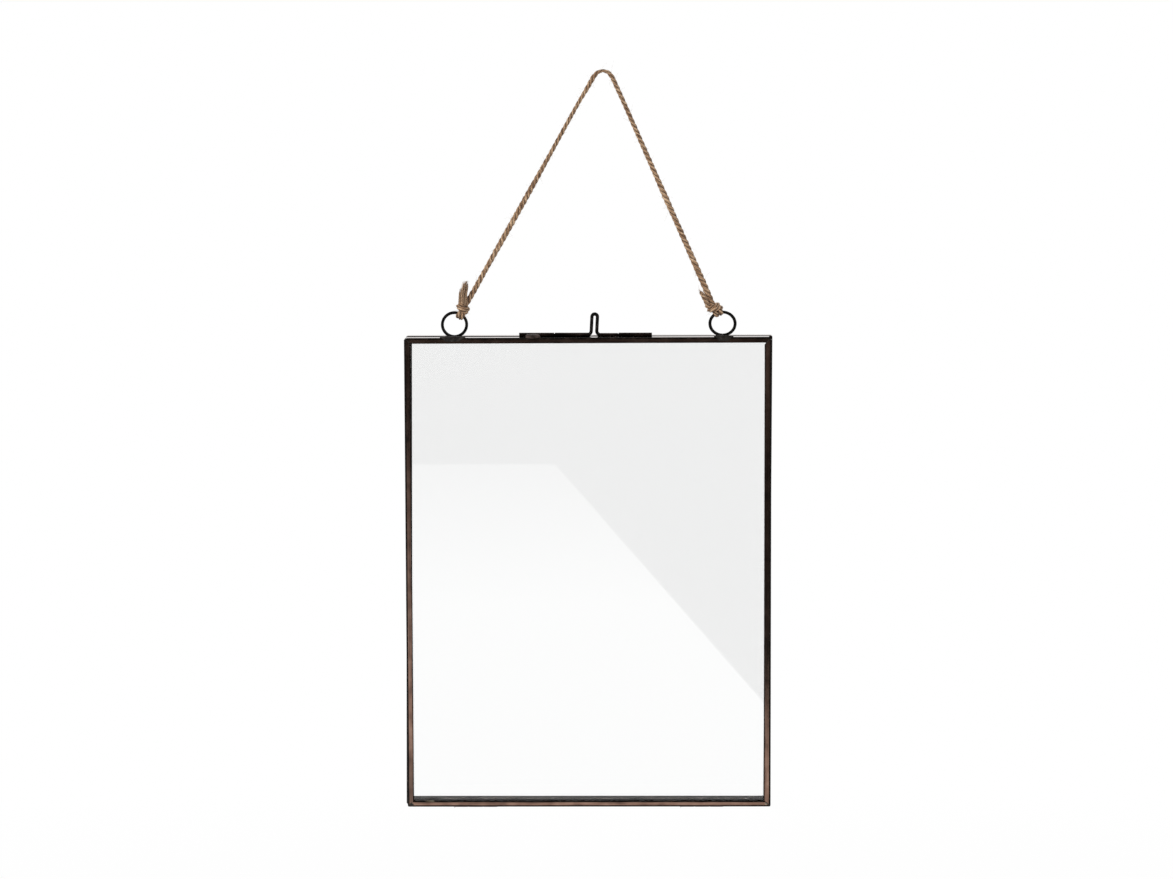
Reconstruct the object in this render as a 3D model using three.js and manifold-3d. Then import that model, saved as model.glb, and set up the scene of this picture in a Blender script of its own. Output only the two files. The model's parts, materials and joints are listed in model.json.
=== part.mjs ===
// A hanging frame of two glazed leaves. Each leaf is a glass pane in four mitred channel rails. The leaves are
// hinged along the bottom, latched along the top by a sprung wire pin, and hung from two rings by a jute cord.
// Millimetres. +X is right, +Y is to the back and +Z is up. The origin is the underside of the cord where it
// hangs, above the seam between the leaves.
import * as THREE from 'three';
import { mergeVertices } from 'three/addons/utils/BufferGeometryUtils.js';
import Module from 'manifold-3d';

const wasm = await Module();
wasm.setup();

// The frame and where it hangs
const FRAME_WIDTH = 154;
const FRAME_HEIGHT = 200;
const FRAME_DROP = 110.4; // hanging point down to the top of the leaves
const FRAME_OFFSET = -6.4; // the frame's middle, left of the hanging point
const SEAM_GAP = 0.6; // between the closed leaves

// One leaf
const GLASS_THICKNESS = 3;
const GLASS_CLEARANCE = 0.3; // glass to channel, on every side
const CHANNEL_WALL = 0.8;
const RAIL_FACE = 2.4; // width of a rail seen from the front
const RAIL_EDGE_RADIUS = 1.2;
const MITRE_GAP = 0.3;

// The two bottom hinges
const HINGE_INSET = 29; // a hinge's middle, in from the end of the bottom rails
const KNUCKLE_DIAMETER = 1.8;
const FRONT_KNUCKLE_LENGTH = 6;
const BACK_KNUCKLE_LENGTH = 5.7;
const KNUCKLE_GAP = 0.3; // between knuckles, end to end
const HINGE_PIN_DIAMETER = 0.9;
const HINGE_PIN_CLEARANCE = 0.1; // pin to knuckle bore, on the radius
const PIN_HEAD_THICKNESS = 0.4;
const PIN_HEAD_LIP = 0.3; // how far a peened head stands out past the pin
const PIN_HEAD_GAP = 0.15;
const HINGE_CLEARANCE = 0.2; // rails to knuckles and pin heads
const FOLD_GAP = 0.3; // between the bottoms of the leaves when one is folded right down

// The latch: two tubes on the front leaf, two on the back leaf, and a hairpin of wire through them
const TUBE_DIAMETER = 1.9;
const RIGHT_INNER_TUBE_DIAMETER = 1.6;
const LEFT_OUTER_TUBE_LENGTH = 14.7;
const LEFT_INNER_TUBE_LENGTH = 14.7;
const RIGHT_INNER_TUBE_LENGTH = 7.3;
const RIGHT_OUTER_TUBE_LENGTH = 14.0;
const TUBE_GAP = 0.3; // between an inner and an outer tube, end to end
const TUBE_CLEARANCE = 0.2; // tubes to the rounded edges of the top rails
const LATCH_MOUTH = 4.5; // between the inner tubes
const LATCH_OFFSET = 3; // middle of the mouth, right of the frame's middle
const PIN_WIRE_DIAMETER = 1;
const PIN_CLEARANCE = 0.1; // pin to tube bore, on the radius
const PIN_ENGAGEMENT = 0.4; // pin tip inside the outer tube
const PIN_BEND_RADIUS = 0.8;
const LOOP_WIDTH = 3.4; // over the outsides of the wire
const LOOP_RISE = 9.6; // top of the loop above the top of the leaves
const LOOP_OFFSET = -0.2; // middle of the loop, from the middle of the mouth
const LEG_RISE = 2.6; // where the moving legs end and the bow begins, above the top of the leaves
const BOW_GAP = 0.3; // legs to bow

// Hanging rings and their solder pads, on the front leaf
const RING_SPACING = 112.5;
const RING_RADIUS = 5.1; // to the middle of the wire
const RING_WIRE_DIAMETER = 1;
const RING_CLEARANCE = 0.15; // ring to rail
const LEFT_PAD_LENGTH = 11;
const RIGHT_PAD_LENGTH = 6.5;
const PAD_DEPTH = 3.4;
const PAD_HEIGHT = 1.2;
const PAD_CLEARANCE = 0.2; // pad to ring
const SOLDER_FILM = 0.05; // pad to rail

// Cord, knots and loose ends
const CORD_DIAMETER = 2.1;
const KNOT_REACH = 1.35; // middle of a knot, outside the ring's wire
const LEFT_KNOT_ANGLE = 56; // degrees round the ring, up from the frame's middle
const RIGHT_KNOT_ANGLE = 61;
const LEFT_KNOT_SIZE = [5.6, 5.0, 6.0];
const RIGHT_KNOT_SIZE = [6.6, 5.0, 6.0];
const KNOT_CLEARANCE = 0.3; // knot to ring, cord and loose ends
const SWING_RANGE = 30; // degrees each way that the rings turn in the knots
const LEFT_TAIL_LENGTH = 9.5;
const RIGHT_TAIL_LENGTH = 6;
const TAIL_DIAMETER = 1.5;
const TAIL_TIP_DIAMETER = 0.9;
const LEFT_TAIL_DIRECTION = [-0.12, -0.3, 0.95];
const RIGHT_TAIL_DIRECTION = [-0.65, -0.42, 0.63];

// The cord's route between the knots, in X and Z, from left to right over the hanging point
const CORD_ROUTE = [
  [-54.6, -91.7],
  [-50.9, -85.1],
  [-46.6, -77.4],
  [-40.6, -66.8],
  [-34.6, -56.1],
  [-28.6, -45.4],
  [-22.7, -34.8],
  [-16.8, -24.1],
  [-10.9, -13.5],
  [-6.6, -6.2],
  [-3.5, -0.95],
  [-2.0, 0.5],
  [0, 1.05],
  [2.0, 0.5],
  [3.6, -1.2],
  [6.0, -6.2],
  [9.7, -14.4],
  [14.7, -25.8],
  [19.7, -37.2],
  [24.7, -48.6],
  [29.7, -60.0],
  [34.7, -71.3],
  [39.3, -81.8],
  [42.4, -88.9],
];

// How finely round shapes are divided
const EDGE_SEGMENTS = 2; // each divides a quarter round twice
const WIRE_SEGMENTS = 4; // each divides a wire's section twice
const TUBE_SIDES = 16;
const RING_STEPS = 40;
const RING_SIDES = 8;
const LEG_STEPS = 30;
const BOW_STEPS = 22;
const CORD_STEPS = 72;
const PAD_STEPS = 6;
const SWING_CUTS = 5;

// What follows from the sizes above
const leafDepth = GLASS_THICKNESS + 2 * (GLASS_CLEARANCE + CHANNEL_WALL);
const leafOffset = (SEAM_GAP + leafDepth) / 2;
const topZ = -FRAME_DROP;
const bottomZ = topZ - FRAME_HEIGHT;
const middleZ = (topZ + bottomZ) / 2;
const hingeLength = FRONT_KNUCKLE_LENGTH + 2 * (BACK_KNUCKLE_LENGTH + KNUCKLE_GAP);
const hingePinLength = hingeLength + 2 * (PIN_HEAD_GAP + PIN_HEAD_THICKNESS);
const hingeZ = bottomZ - FOLD_GAP / 2;
const hingeReach = FRAME_WIDTH / 2 - HINGE_INSET;
const knuckleBore = HINGE_PIN_DIAMETER + 2 * HINGE_PIN_CLEARANCE;
const tubeBore = PIN_WIRE_DIAMETER + 2 * PIN_CLEARANCE;
const radians = THREE.MathUtils.degToRad;

// The latch tubes lie in the groove that the rounded edges of the two top rails make over the seam.
const grooveReach = RAIL_EDGE_RADIUS + TUBE_DIAMETER / 2 + TUBE_CLEARANCE;
const grooveHalfWidth = RAIL_EDGE_RADIUS + SEAM_GAP / 2;
const tubeRise = Math.sqrt(grooveReach ** 2 - grooveHalfWidth ** 2) - RAIL_EDGE_RADIUS;

// The rings lean back until the knots stand over the seam, so that the frame hangs plumb.
const ringRise = RING_CLEARANCE + RING_WIRE_DIAMETER / 2 + RING_RADIUS;
const gripAngle = radians((LEFT_KNOT_ANGLE + RIGHT_KNOT_ANGLE) / 2);
const gripRise = ringRise + RING_RADIUS * Math.sin(gripAngle);
const ringLean = Math.asin(leafOffset / gripRise);
const swingRise = gripRise * Math.cos(ringLean);

// Finishes
function patinatedMetal() {
  return new THREE.MeshStandardMaterial({ color: 0x54423c, roughness: 0.32, metalness: 1 });
}

function clearGlass() {
  const finish = { color: 0xf1f4f3, roughness: 0.04, metalness: 0, transparent: true, opacity: 0.22 };
  return new THREE.MeshStandardMaterial(finish);
}

function juteFibre() {
  return new THREE.MeshStandardMaterial({ color: 0xa98a5f, roughness: 0.95, metalness: 0 });
}

function piece(name, geometry, material) {
  const mesh = new THREE.Mesh(geometry, material);
  mesh.name = name;
  return mesh;
}

// Joining and cutting
function toSolid(geometry) {
  const bare = new THREE.BufferGeometry();
  bare.setAttribute('position', geometry.getAttribute('position'));
  bare.setIndex(geometry.getIndex());
  const merged = mergeVertices(bare);
  const corners = merged.getIndex().array;
  const kept = [];
  for (let i = 0; i < corners.length; i += 3) {
    const [a, b, c] = [corners[i], corners[i + 1], corners[i + 2]];
    if (a !== b && b !== c && c !== a) kept.push(a, b, c);
  }
  const vertProperties = new Float32Array(merged.getAttribute('position').array);
  const triVerts = new Uint32Array(kept);
  return new wasm.Manifold(new wasm.Mesh({ numProp: 3, vertProperties, triVerts }));
}

function toGeometry(solid) {
  const { vertProperties, triVerts } = solid.getMesh();
  const indexed = new THREE.BufferGeometry();
  indexed.setAttribute('position', new THREE.BufferAttribute(vertProperties, 3));
  indexed.setIndex(new THREE.BufferAttribute(triVerts, 1));
  const geometry = indexed.toNonIndexed();
  geometry.computeVertexNormals();
  return geometry;
}

function cut(geometry, cutters) {
  const solid = cutters.reduce((left, cutter) => left.subtract(toSolid(cutter)), toSolid(geometry));
  return toGeometry(solid);
}

// A round tube along X, starting at x = 0
function tubeGeometry(diameter, bore, length) {
  const outside = diameter / 2;
  const inside = bore / 2;
  const profile = [
    new THREE.Vector2(inside, 0),
    new THREE.Vector2(outside, 0),
    new THREE.Vector2(outside, length),
    new THREE.Vector2(inside, length),
    new THREE.Vector2(inside, 0),
  ];
  return new THREE.LatheGeometry(profile, TUBE_SIDES).rotateZ(-Math.PI / 2);
}

// A bar of round section along a curve
function wireGeometry(diameter, path, steps) {
  const section = new THREE.Shape().absarc(0, 0, diameter / 2, 0, 2 * Math.PI);
  return new THREE.ExtrudeGeometry(section, { extrudePath: path, steps, curveSegments: WIRE_SEGMENTS });
}

// Rails: a channel open towards the glass. A rail's outer side is z = 0, and it runs along X.
function channelSection() {
  const half = leafDepth / 2;
  const inner = half - CHANNEL_WALL;
  const edge = RAIL_EDGE_RADIUS;
  const section = new THREE.Shape();
  section.moveTo(-half, RAIL_FACE);
  section.lineTo(-half, edge);
  section.absarc(edge - half, edge, edge, Math.PI, 1.5 * Math.PI);
  section.lineTo(half - edge, 0);
  section.absarc(half - edge, edge, edge, 1.5 * Math.PI, 2 * Math.PI);
  section.lineTo(half, RAIL_FACE);
  section.lineTo(inner, RAIL_FACE);
  section.lineTo(inner, CHANNEL_WALL);
  section.lineTo(-inner, CHANNEL_WALL);
  section.lineTo(-inner, RAIL_FACE);
  section.closePath();
  return section;
}

function railGeometry(length) {
  const options = { depth: length, bevelEnabled: false, curveSegments: EDGE_SEGMENTS };
  const rail = new THREE.ExtrudeGeometry(channelSection(), options);
  const points = rail.getAttribute('position');
  for (let i = 0; i < points.count; i += 1) {
    const inset = points.getY(i);
    const end = points.getZ(i) < length / 2 ? 1 : -1;
    const reach = length / 2 - inset - MITRE_GAP * Math.SQRT1_2;
    points.setXYZ(i, end * reach, points.getX(i), -inset);
  }
  rail.computeVertexNormals();
  return rail;
}

// Room in a bottom rail for the knuckles of both hinges; side is -1 on the front leaf and 1 on the back leaf
function hingeRoom(side) {
  const radius = KNUCKLE_DIAMETER / 2 + HINGE_CLEARANCE;
  const length = hingePinLength + 2 * HINGE_CLEARANCE;
  return [-1, 1].map((end) => {
    const room = new THREE.CylinderGeometry(radius, radius, length, TUBE_SIDES).rotateZ(Math.PI / 2);
    return room.translate(end * hingeReach, -side * leafOffset, FOLD_GAP / 2);
  });
}

function makeLeaf(name, side) {
  const leaf = new THREE.Group();
  leaf.position.set(FRAME_OFFSET, side * leafOffset, middleZ);

  const bottomRail = cut(railGeometry(FRAME_WIDTH), hingeRoom(side));
  const top = piece(`${name}_top_rail`, railGeometry(FRAME_WIDTH), patinatedMetal());
  const bottom = piece(`${name}_bottom_rail`, bottomRail, patinatedMetal());
  const left = piece(`${name}_left_rail`, railGeometry(FRAME_HEIGHT), patinatedMetal());
  const right = piece(`${name}_right_rail`, railGeometry(FRAME_HEIGHT), patinatedMetal());
  top.position.z = FRAME_HEIGHT / 2;
  bottom.position.z = -FRAME_HEIGHT / 2;
  bottom.rotation.y = Math.PI;
  left.position.x = -FRAME_WIDTH / 2;
  left.rotation.y = -Math.PI / 2;
  right.position.x = FRAME_WIDTH / 2;
  right.rotation.y = Math.PI / 2;

  const margin = 2 * (CHANNEL_WALL + GLASS_CLEARANCE);
  const pane = new THREE.BoxGeometry(FRAME_WIDTH - margin, GLASS_THICKNESS, FRAME_HEIGHT - margin);
  const glass = piece(`${name}_glass`, pane, clearGlass());

  leaf.add(top, bottom, left, right, glass);
  return leaf;
}

// A bottom hinge: one knuckle on the front leaf between two on the back leaf, on a pin with peened ends
function hingePinGeometry() {
  const shaft = HINGE_PIN_DIAMETER / 2;
  const head = shaft + PIN_HEAD_LIP;
  const far = hingePinLength - PIN_HEAD_THICKNESS;
  const profile = [
    new THREE.Vector2(0, 0),
    new THREE.Vector2(head, 0),
    new THREE.Vector2(head, PIN_HEAD_THICKNESS),
    new THREE.Vector2(shaft, PIN_HEAD_THICKNESS),
    new THREE.Vector2(shaft, far),
    new THREE.Vector2(head, far),
    new THREE.Vector2(head, hingePinLength),
    new THREE.Vector2(0, hingePinLength),
  ];
  return new THREE.LatheGeometry(profile, TUBE_SIDES).rotateZ(-Math.PI / 2);
}

function makeHinge(name, end) {
  const hinge = new THREE.Group();
  hinge.position.set(FRAME_OFFSET + end * hingeReach, 0, hingeZ);

  const backKnuckle = () => tubeGeometry(KNUCKLE_DIAMETER, knuckleBore, BACK_KNUCKLE_LENGTH);
  const frontKnuckle = tubeGeometry(KNUCKLE_DIAMETER, knuckleBore, FRONT_KNUCKLE_LENGTH);
  const first = piece(`${name}_hinge_back_knuckle_left`, backKnuckle(), patinatedMetal());
  const second = piece(`${name}_hinge_front_knuckle`, frontKnuckle, patinatedMetal());
  const third = piece(`${name}_hinge_back_knuckle_right`, backKnuckle(), patinatedMetal());
  const pin = piece(`${name}_hinge_pin`, hingePinGeometry(), patinatedMetal());
  first.position.x = -hingeLength / 2;
  second.position.x = -FRONT_KNUCKLE_LENGTH / 2;
  third.position.x = hingeLength / 2 - BACK_KNUCKLE_LENGTH;
  pin.position.x = -hingePinLength / 2;

  hinge.add(first, second, third, pin);
  return hinge;
}

// The latch. Wire curves lie in the XZ plane.
class WireArc extends THREE.Curve {
  constructor(centreX, centreZ, radius, startAngle, endAngle) {
    super();
    Object.assign(this, { centreX, centreZ, radius, startAngle, endAngle });
  }

  getPoint(t, target = new THREE.Vector3()) {
    const angle = THREE.MathUtils.lerp(this.startAngle, this.endAngle, t);
    const x = this.centreX + this.radius * Math.cos(angle);
    const z = this.centreZ + this.radius * Math.sin(angle);
    return target.set(x, 0, z);
  }
}

function straight(fromX, fromZ, toX, toZ) {
  return new THREE.LineCurve3(new THREE.Vector3(fromX, 0, fromZ), new THREE.Vector3(toX, 0, toZ));
}

function wirePath(...stretches) {
  const path = new THREE.CurvePath();
  stretches.forEach((stretch) => path.add(stretch));
  return path;
}

// One leg: from its tip in the outer tube, through the inner tube and up to the bow. side is -1 left, 1 right.
function legGeometry(side, tipX, legX) {
  const bend = PIN_BEND_RADIUS;
  const turnX = legX + side * bend;
  const turnStart = side < 0 ? -Math.PI / 2 : 1.5 * Math.PI;
  const turnEnd = side < 0 ? 0 : Math.PI;
  const along = straight(tipX, tubeRise, turnX, tubeRise);
  const turn = new WireArc(turnX, tubeRise + bend, bend, turnStart, turnEnd);
  const up = straight(legX, tubeRise + bend, legX, LEG_RISE);
  return wireGeometry(PIN_WIRE_DIAMETER, wirePath(along, turn, up), LEG_STEPS);
}

function bowGeometry(leftX, rightX) {
  const radius = (rightX - leftX) / 2;
  const shoulder = LOOP_RISE - PIN_WIRE_DIAMETER / 2 - radius;
  const foot = LEG_RISE + BOW_GAP;
  const up = straight(leftX, foot, leftX, shoulder);
  const over = new WireArc((leftX + rightX) / 2, shoulder, radius, Math.PI, 0);
  const down = straight(rightX, shoulder, rightX, foot);
  return wireGeometry(PIN_WIRE_DIAMETER, wirePath(up, over, down), BOW_STEPS);
}

function makeLatch() {
  const latch = new THREE.Group();
  latch.position.set(FRAME_OFFSET + LATCH_OFFSET, 0, topZ);

  const leftMouth = -LATCH_MOUTH / 2;
  const rightMouth = LATCH_MOUTH / 2;
  const leftJoint = leftMouth - LEFT_INNER_TUBE_LENGTH;
  const rightJoint = rightMouth + RIGHT_INNER_TUBE_LENGTH;
  const outerLeft = leftJoint - TUBE_GAP;
  const outerRight = rightJoint + TUBE_GAP;
  const tubes = [
    ['latch_tube_left_outer', TUBE_DIAMETER, LEFT_OUTER_TUBE_LENGTH, outerLeft - LEFT_OUTER_TUBE_LENGTH],
    ['latch_tube_left_inner', TUBE_DIAMETER, LEFT_INNER_TUBE_LENGTH, leftJoint],
    ['latch_tube_right_inner', RIGHT_INNER_TUBE_DIAMETER, RIGHT_INNER_TUBE_LENGTH, rightMouth],
    ['latch_tube_right_outer', TUBE_DIAMETER, RIGHT_OUTER_TUBE_LENGTH, outerRight],
  ];
  tubes.forEach(([name, diameter, length, startX]) => {
    const tube = piece(name, tubeGeometry(diameter, tubeBore, length), patinatedMetal());
    tube.position.set(startX, 0, tubeRise);
    latch.add(tube);
  });

  const legReach = (LOOP_WIDTH - PIN_WIRE_DIAMETER) / 2;
  const leftX = LOOP_OFFSET - legReach;
  const rightX = LOOP_OFFSET + legReach;
  const leftLeg = legGeometry(-1, outerLeft - PIN_ENGAGEMENT, leftX);
  const rightLeg = legGeometry(1, outerRight + PIN_ENGAGEMENT, rightX);
  latch.add(piece('spring_pin_left_leg', leftLeg, patinatedMetal()));
  latch.add(piece('spring_pin_right_leg', rightLeg, patinatedMetal()));
  latch.add(piece('spring_pin_bow', bowGeometry(leftX, rightX), patinatedMetal()));
  return latch;
}

// A hanging ring, leaning back from its seat on the front leaf's top rail. The seat is the origin here.
function ringGeometry(margin) {
  const wire = RING_WIRE_DIAMETER / 2 + margin;
  const ring = new THREE.TorusGeometry(RING_RADIUS, wire, RING_SIDES, RING_STEPS);
  return ring.rotateX(Math.PI / 2).translate(0, 0, ringRise).rotateX(-ringLean);
}

// A mound of solder, flat underneath
function padGeometry(length) {
  const profile = [new THREE.Vector2(0, 0)];
  for (let i = 0; i < PAD_STEPS; i += 1) {
    const angle = (i / PAD_STEPS) * (Math.PI / 2);
    profile.push(new THREE.Vector2(Math.cos(angle), Math.sin(angle)));
  }
  profile.push(new THREE.Vector2(0, 1));
  const mound = new THREE.LatheGeometry(profile, RING_STEPS).rotateX(Math.PI / 2);
  mound.scale(length / 2, PAD_DEPTH / 2, PAD_HEIGHT).translate(0, 0, SOLDER_FILM);
  return cut(mound, [ringGeometry(PAD_CLEARANCE)]);
}

// A knot, measured from its ring's seat. inward is 1 on the left ring and -1 on the right.
function knotPlace(inward, angle) {
  const reach = RING_RADIUS + KNOT_REACH;
  const x = inward * reach * Math.cos(radians(angle));
  const rise = ringRise + reach * Math.sin(radians(angle));
  return new THREE.Vector3(x, rise * Math.sin(ringLean), rise * Math.cos(ringLean));
}

// The room that the ring takes up in its knot as the frame swings
function swingRoom() {
  const cuts = [];
  for (let i = 0; i < SWING_CUTS; i += 1) {
    const swing = radians(THREE.MathUtils.lerp(-SWING_RANGE, SWING_RANGE, i / (SWING_CUTS - 1)));
    const ring = ringGeometry(KNOT_CLEARANCE).translate(0, -leafOffset, -swingRise);
    cuts.push(ring.rotateX(swing).translate(0, leafOffset, swingRise));
  }
  return cuts;
}

function knotGeometry(size, place) {
  const knot = new THREE.SphereGeometry(0.5, TUBE_SIDES, TUBE_SIDES).rotateX(Math.PI / 2);
  knot.scale(...size).translate(place.x, place.y, place.z);
  return cut(knot, swingRoom());
}

// Where something that leaves a knot begins, just clear of the knot's surface
function knotExit(centre, size, direction) {
  const way = direction.clone().normalize();
  const scaled = new THREE.Vector3(way.x / size[0], way.y / size[1], way.z / size[2]);
  return centre.clone().addScaledVector(way, 0.5 / scaled.length() + KNOT_CLEARANCE);
}

function makeTail(name, length, centre, size, direction) {
  const way = new THREE.Vector3(...direction).normalize();
  const tail = new THREE.CylinderGeometry(TAIL_TIP_DIAMETER / 2, TAIL_DIAMETER / 2, length, 2 * WIRE_SEGMENTS);
  const mesh = piece(name, tail.translate(0, length / 2, 0), juteFibre());
  mesh.position.copy(knotExit(centre, size, way));
  mesh.quaternion.setFromUnitVectors(new THREE.Vector3(0, 1, 0), way);
  return mesh;
}

function makeHanger() {
  const hanger = new THREE.Group();
  const seats = {
    left: new THREE.Vector3(FRAME_OFFSET - RING_SPACING / 2, -leafOffset, topZ),
    right: new THREE.Vector3(FRAME_OFFSET + RING_SPACING / 2, -leafOffset, topZ),
  };
  const places = { left: knotPlace(1, LEFT_KNOT_ANGLE), right: knotPlace(-1, RIGHT_KNOT_ANGLE) };
  const sizes = { left: LEFT_KNOT_SIZE, right: RIGHT_KNOT_SIZE };
  const padLengths = { left: LEFT_PAD_LENGTH, right: RIGHT_PAD_LENGTH };
  const centres = {};
  ['left', 'right'].forEach((side) => {
    const ring = piece(`${side}_ring`, ringGeometry(0), patinatedMetal());
    const pad = piece(`${side}_ring_pad`, padGeometry(padLengths[side]), patinatedMetal());
    const knot = piece(`${side}_knot`, knotGeometry(sizes[side], places[side]), juteFibre());
    [ring, pad, knot].forEach((mesh) => mesh.position.copy(seats[side]));
    centres[side] = places[side].clone().add(seats[side]);
    hanger.add(ring, pad, knot);
  });

  const route = CORD_ROUTE.map(([x, z]) => new THREE.Vector3(x, 0, z));
  const towards = (side, point) => point.clone().sub(centres[side]);
  const start = knotExit(centres.left, sizes.left, towards('left', route[0]));
  const end = knotExit(centres.right, sizes.right, towards('right', route[route.length - 1]));
  const path = new THREE.CatmullRomCurve3([start, ...route, end], false, 'centripetal');
  hanger.add(piece('jute_cord', wireGeometry(CORD_DIAMETER, path, CORD_STEPS), juteFibre()));
  hanger.add(makeTail('left_tail', LEFT_TAIL_LENGTH, centres.left, sizes.left, LEFT_TAIL_DIRECTION));
  hanger.add(makeTail('right_tail', RIGHT_TAIL_LENGTH, centres.right, sizes.right, RIGHT_TAIL_DIRECTION));
  return hanger;
}

const hangingFrame = new THREE.Group();
hangingFrame.add(makeLeaf('front', -1), makeLeaf('back', 1));
hangingFrame.add(makeHinge('left', -1), makeHinge('right', 1));
hangingFrame.add(makeLatch(), makeHanger());

export default hangingFrame;
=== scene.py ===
# %% [markdown]
# # A double glass hanging frame
# Two slim leaves of glass, each in four dark copper rails, lie back to back. They are hinged along the
# bottom, so that the back leaf folds down, and a sprung wire hairpin latches them along the top. The frame
# hangs from two wire rings by a length of jute twine.
#
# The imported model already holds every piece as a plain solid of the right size. This lesson loads it as a
# fixed frame, then builds the finer pieces that a close look asks for, each one where its solid is.

# %% Load the plain model
import json
import math
import random

import bmesh
import bpy
import numpy as np
from mathutils import Matrix, Vector


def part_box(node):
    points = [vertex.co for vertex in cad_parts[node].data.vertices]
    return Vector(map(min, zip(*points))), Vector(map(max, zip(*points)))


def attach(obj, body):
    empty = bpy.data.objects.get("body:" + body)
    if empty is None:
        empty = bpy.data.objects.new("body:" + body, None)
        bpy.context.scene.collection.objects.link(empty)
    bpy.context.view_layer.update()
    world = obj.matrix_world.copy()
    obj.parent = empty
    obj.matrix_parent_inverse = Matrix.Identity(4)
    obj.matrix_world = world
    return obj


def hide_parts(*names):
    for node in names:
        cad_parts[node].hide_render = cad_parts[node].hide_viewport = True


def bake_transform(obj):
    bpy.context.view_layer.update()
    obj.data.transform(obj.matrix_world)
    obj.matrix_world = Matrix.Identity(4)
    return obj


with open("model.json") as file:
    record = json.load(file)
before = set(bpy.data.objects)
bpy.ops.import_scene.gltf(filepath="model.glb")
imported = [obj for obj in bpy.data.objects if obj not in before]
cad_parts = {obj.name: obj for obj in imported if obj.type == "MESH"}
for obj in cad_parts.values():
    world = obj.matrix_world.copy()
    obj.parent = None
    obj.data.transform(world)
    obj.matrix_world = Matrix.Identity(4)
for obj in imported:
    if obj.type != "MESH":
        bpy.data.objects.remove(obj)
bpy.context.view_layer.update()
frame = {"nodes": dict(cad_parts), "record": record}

MM = 0.001
X, Y, Z = Vector((1, 0, 0)), Vector((0, 1, 0)), Vector((0, 0, 1))

# %% [markdown]
# ## Working by hand, in code
# Blender's operators act on whatever is selected, just as the mouse would. So each piece begins with
# nothing selected, and faces or edges are then picked by where they are or which way they face. `pick` does
# that. It reads the mesh in edit mode through `bmesh`, which is the usual way to choose a face without a
# mouse.

# %% Selecting
FACING = 0.9  # how closely a face looks a given way, where 1 is exactly


def clear_selection():
    if bpy.context.mode != "OBJECT":
        bpy.ops.object.mode_set(mode="OBJECT")
    bpy.ops.object.select_all(action="DESELECT")


def take(piece):
    """Selects one object alone, and makes it the active one."""
    clear_selection()
    piece.select_set(True)
    bpy.context.view_layer.objects.active = piece


def looks(face, way):
    return face.normal.dot(way) > FACING


def pick(kind, test):
    """Selects, in edit mode, the faces or edges of the active object that pass the test."""
    bpy.ops.mesh.select_mode(type=kind)
    bpy.ops.mesh.select_all(action="DESELECT")
    mesh = bpy.context.object.data
    shape = bmesh.from_edit_mesh(mesh)
    shape.normal_update()
    for item in shape.faces if kind == "FACE" else shape.edges:
        item.select_set(test(item))
    bmesh.update_edit_mesh(mesh)


print("selecting helpers ready")


# %% Starting and finishing a piece
def settle(name):
    """Puts the active object's place into its mesh and names it."""
    bpy.ops.object.transform_apply(location=True, rotation=True, scale=True)
    made = bpy.context.object
    made.name = name
    made.data.name = name
    return made


def edit_mode():
    bpy.ops.object.mode_set(mode="EDIT")
    bpy.ops.mesh.select_all(action="SELECT")


def object_mode():
    bpy.ops.object.mode_set(mode="OBJECT")


def faces_outwards():
    """Turns all faces of the mesh outwards, and leaves edit mode."""
    bpy.ops.mesh.select_all(action="SELECT")
    bpy.ops.mesh.normals_make_consistent(inside=False)
    object_mode()


def apply_modifiers(piece):
    for modifier in list(piece.modifiers):
        bpy.ops.object.modifier_apply(modifier=modifier.name)


def dress(piece, body, slot, finish, *nodes):
    """Gives a piece its finish, the body that it moves with and the solids that it stands for."""
    piece.data.materials.clear()
    piece.data.materials.append(finish)
    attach(piece, body)
    if nodes:
        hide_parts(*nodes)


print("piece helpers ready")

# %% [markdown]
# ## The camera
# The photograph looks slightly down on the frame through a long lens: the pale tops of the rails show as a
# thin strip, and the sides hardly converge. A camera could be nudged by eye until it looks right. Here its
# place and aim were worked out from the four corners of the frame and from how far the back leaf shows
# above the front one.

# %% Place the camera
CAMERA_PLACE = Vector((7.43, -2250, 133.33)) * MM
LOOKS_DOWN = math.radians(7.280)
LOOKS_LEFT = math.radians(0.371)
LEANS_RIGHT = math.radians(0.109)
LENS_LENGTH = 165.3
SENSOR_WIDTH = 36
VIEW_REACH = 50

clear_selection()
bpy.ops.object.camera_add(location=CAMERA_PLACE)
camera = bpy.context.object
camera.name = "photo_camera"
turn = Matrix.Rotation(LOOKS_LEFT, 3, "Z")
tilt = Matrix.Rotation(math.pi / 2 - LOOKS_DOWN, 3, "X")
roll = Matrix.Rotation(-LEANS_RIGHT, 3, "Z")
camera.rotation_euler = (turn @ tilt @ roll).to_euler()
camera.data.sensor_width = SENSOR_WIDTH
camera.data.lens = LENS_LENGTH
camera.data.clip_end = VIEW_REACH
bpy.context.scene.camera = camera
bpy.context.scene.view_settings.view_transform = "Standard"
print("camera", round(LENS_LENGTH), "mm lens,", round(-CAMERA_PLACE.y, 2), "m in front of the seam")

# %% [markdown]
# ## Building materials from nodes
# Every finish is a small node tree. Two helpers keep the trees short: `add` makes a node with its settings
# and input values, and `new_finish` makes a material and hands over its tree and main shader. A value that
# is the same all over a surface is set on the shader's own socket.

# %% Helpers for node trees
def add(tree, kind, inputs=None, **settings):
    made = tree.nodes.new("ShaderNode" + kind)
    for key, value in settings.items():
        setattr(made, key, value)
    for key, value in (inputs or {}).items():
        if isinstance(value, bpy.types.NodeSocket):
            tree.links.new(value, made.inputs[key])
        else:
            made.inputs[key].default_value = value
    return made


def new_finish(name, **values):
    finish = bpy.data.materials.new(name)
    finish.use_nodes = True
    shader = finish.node_tree.nodes["Principled BSDF"]
    for key, value in values.items():
        shader.inputs[key.replace("_", " ")].default_value = value
    return finish, finish.node_tree, shader


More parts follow.
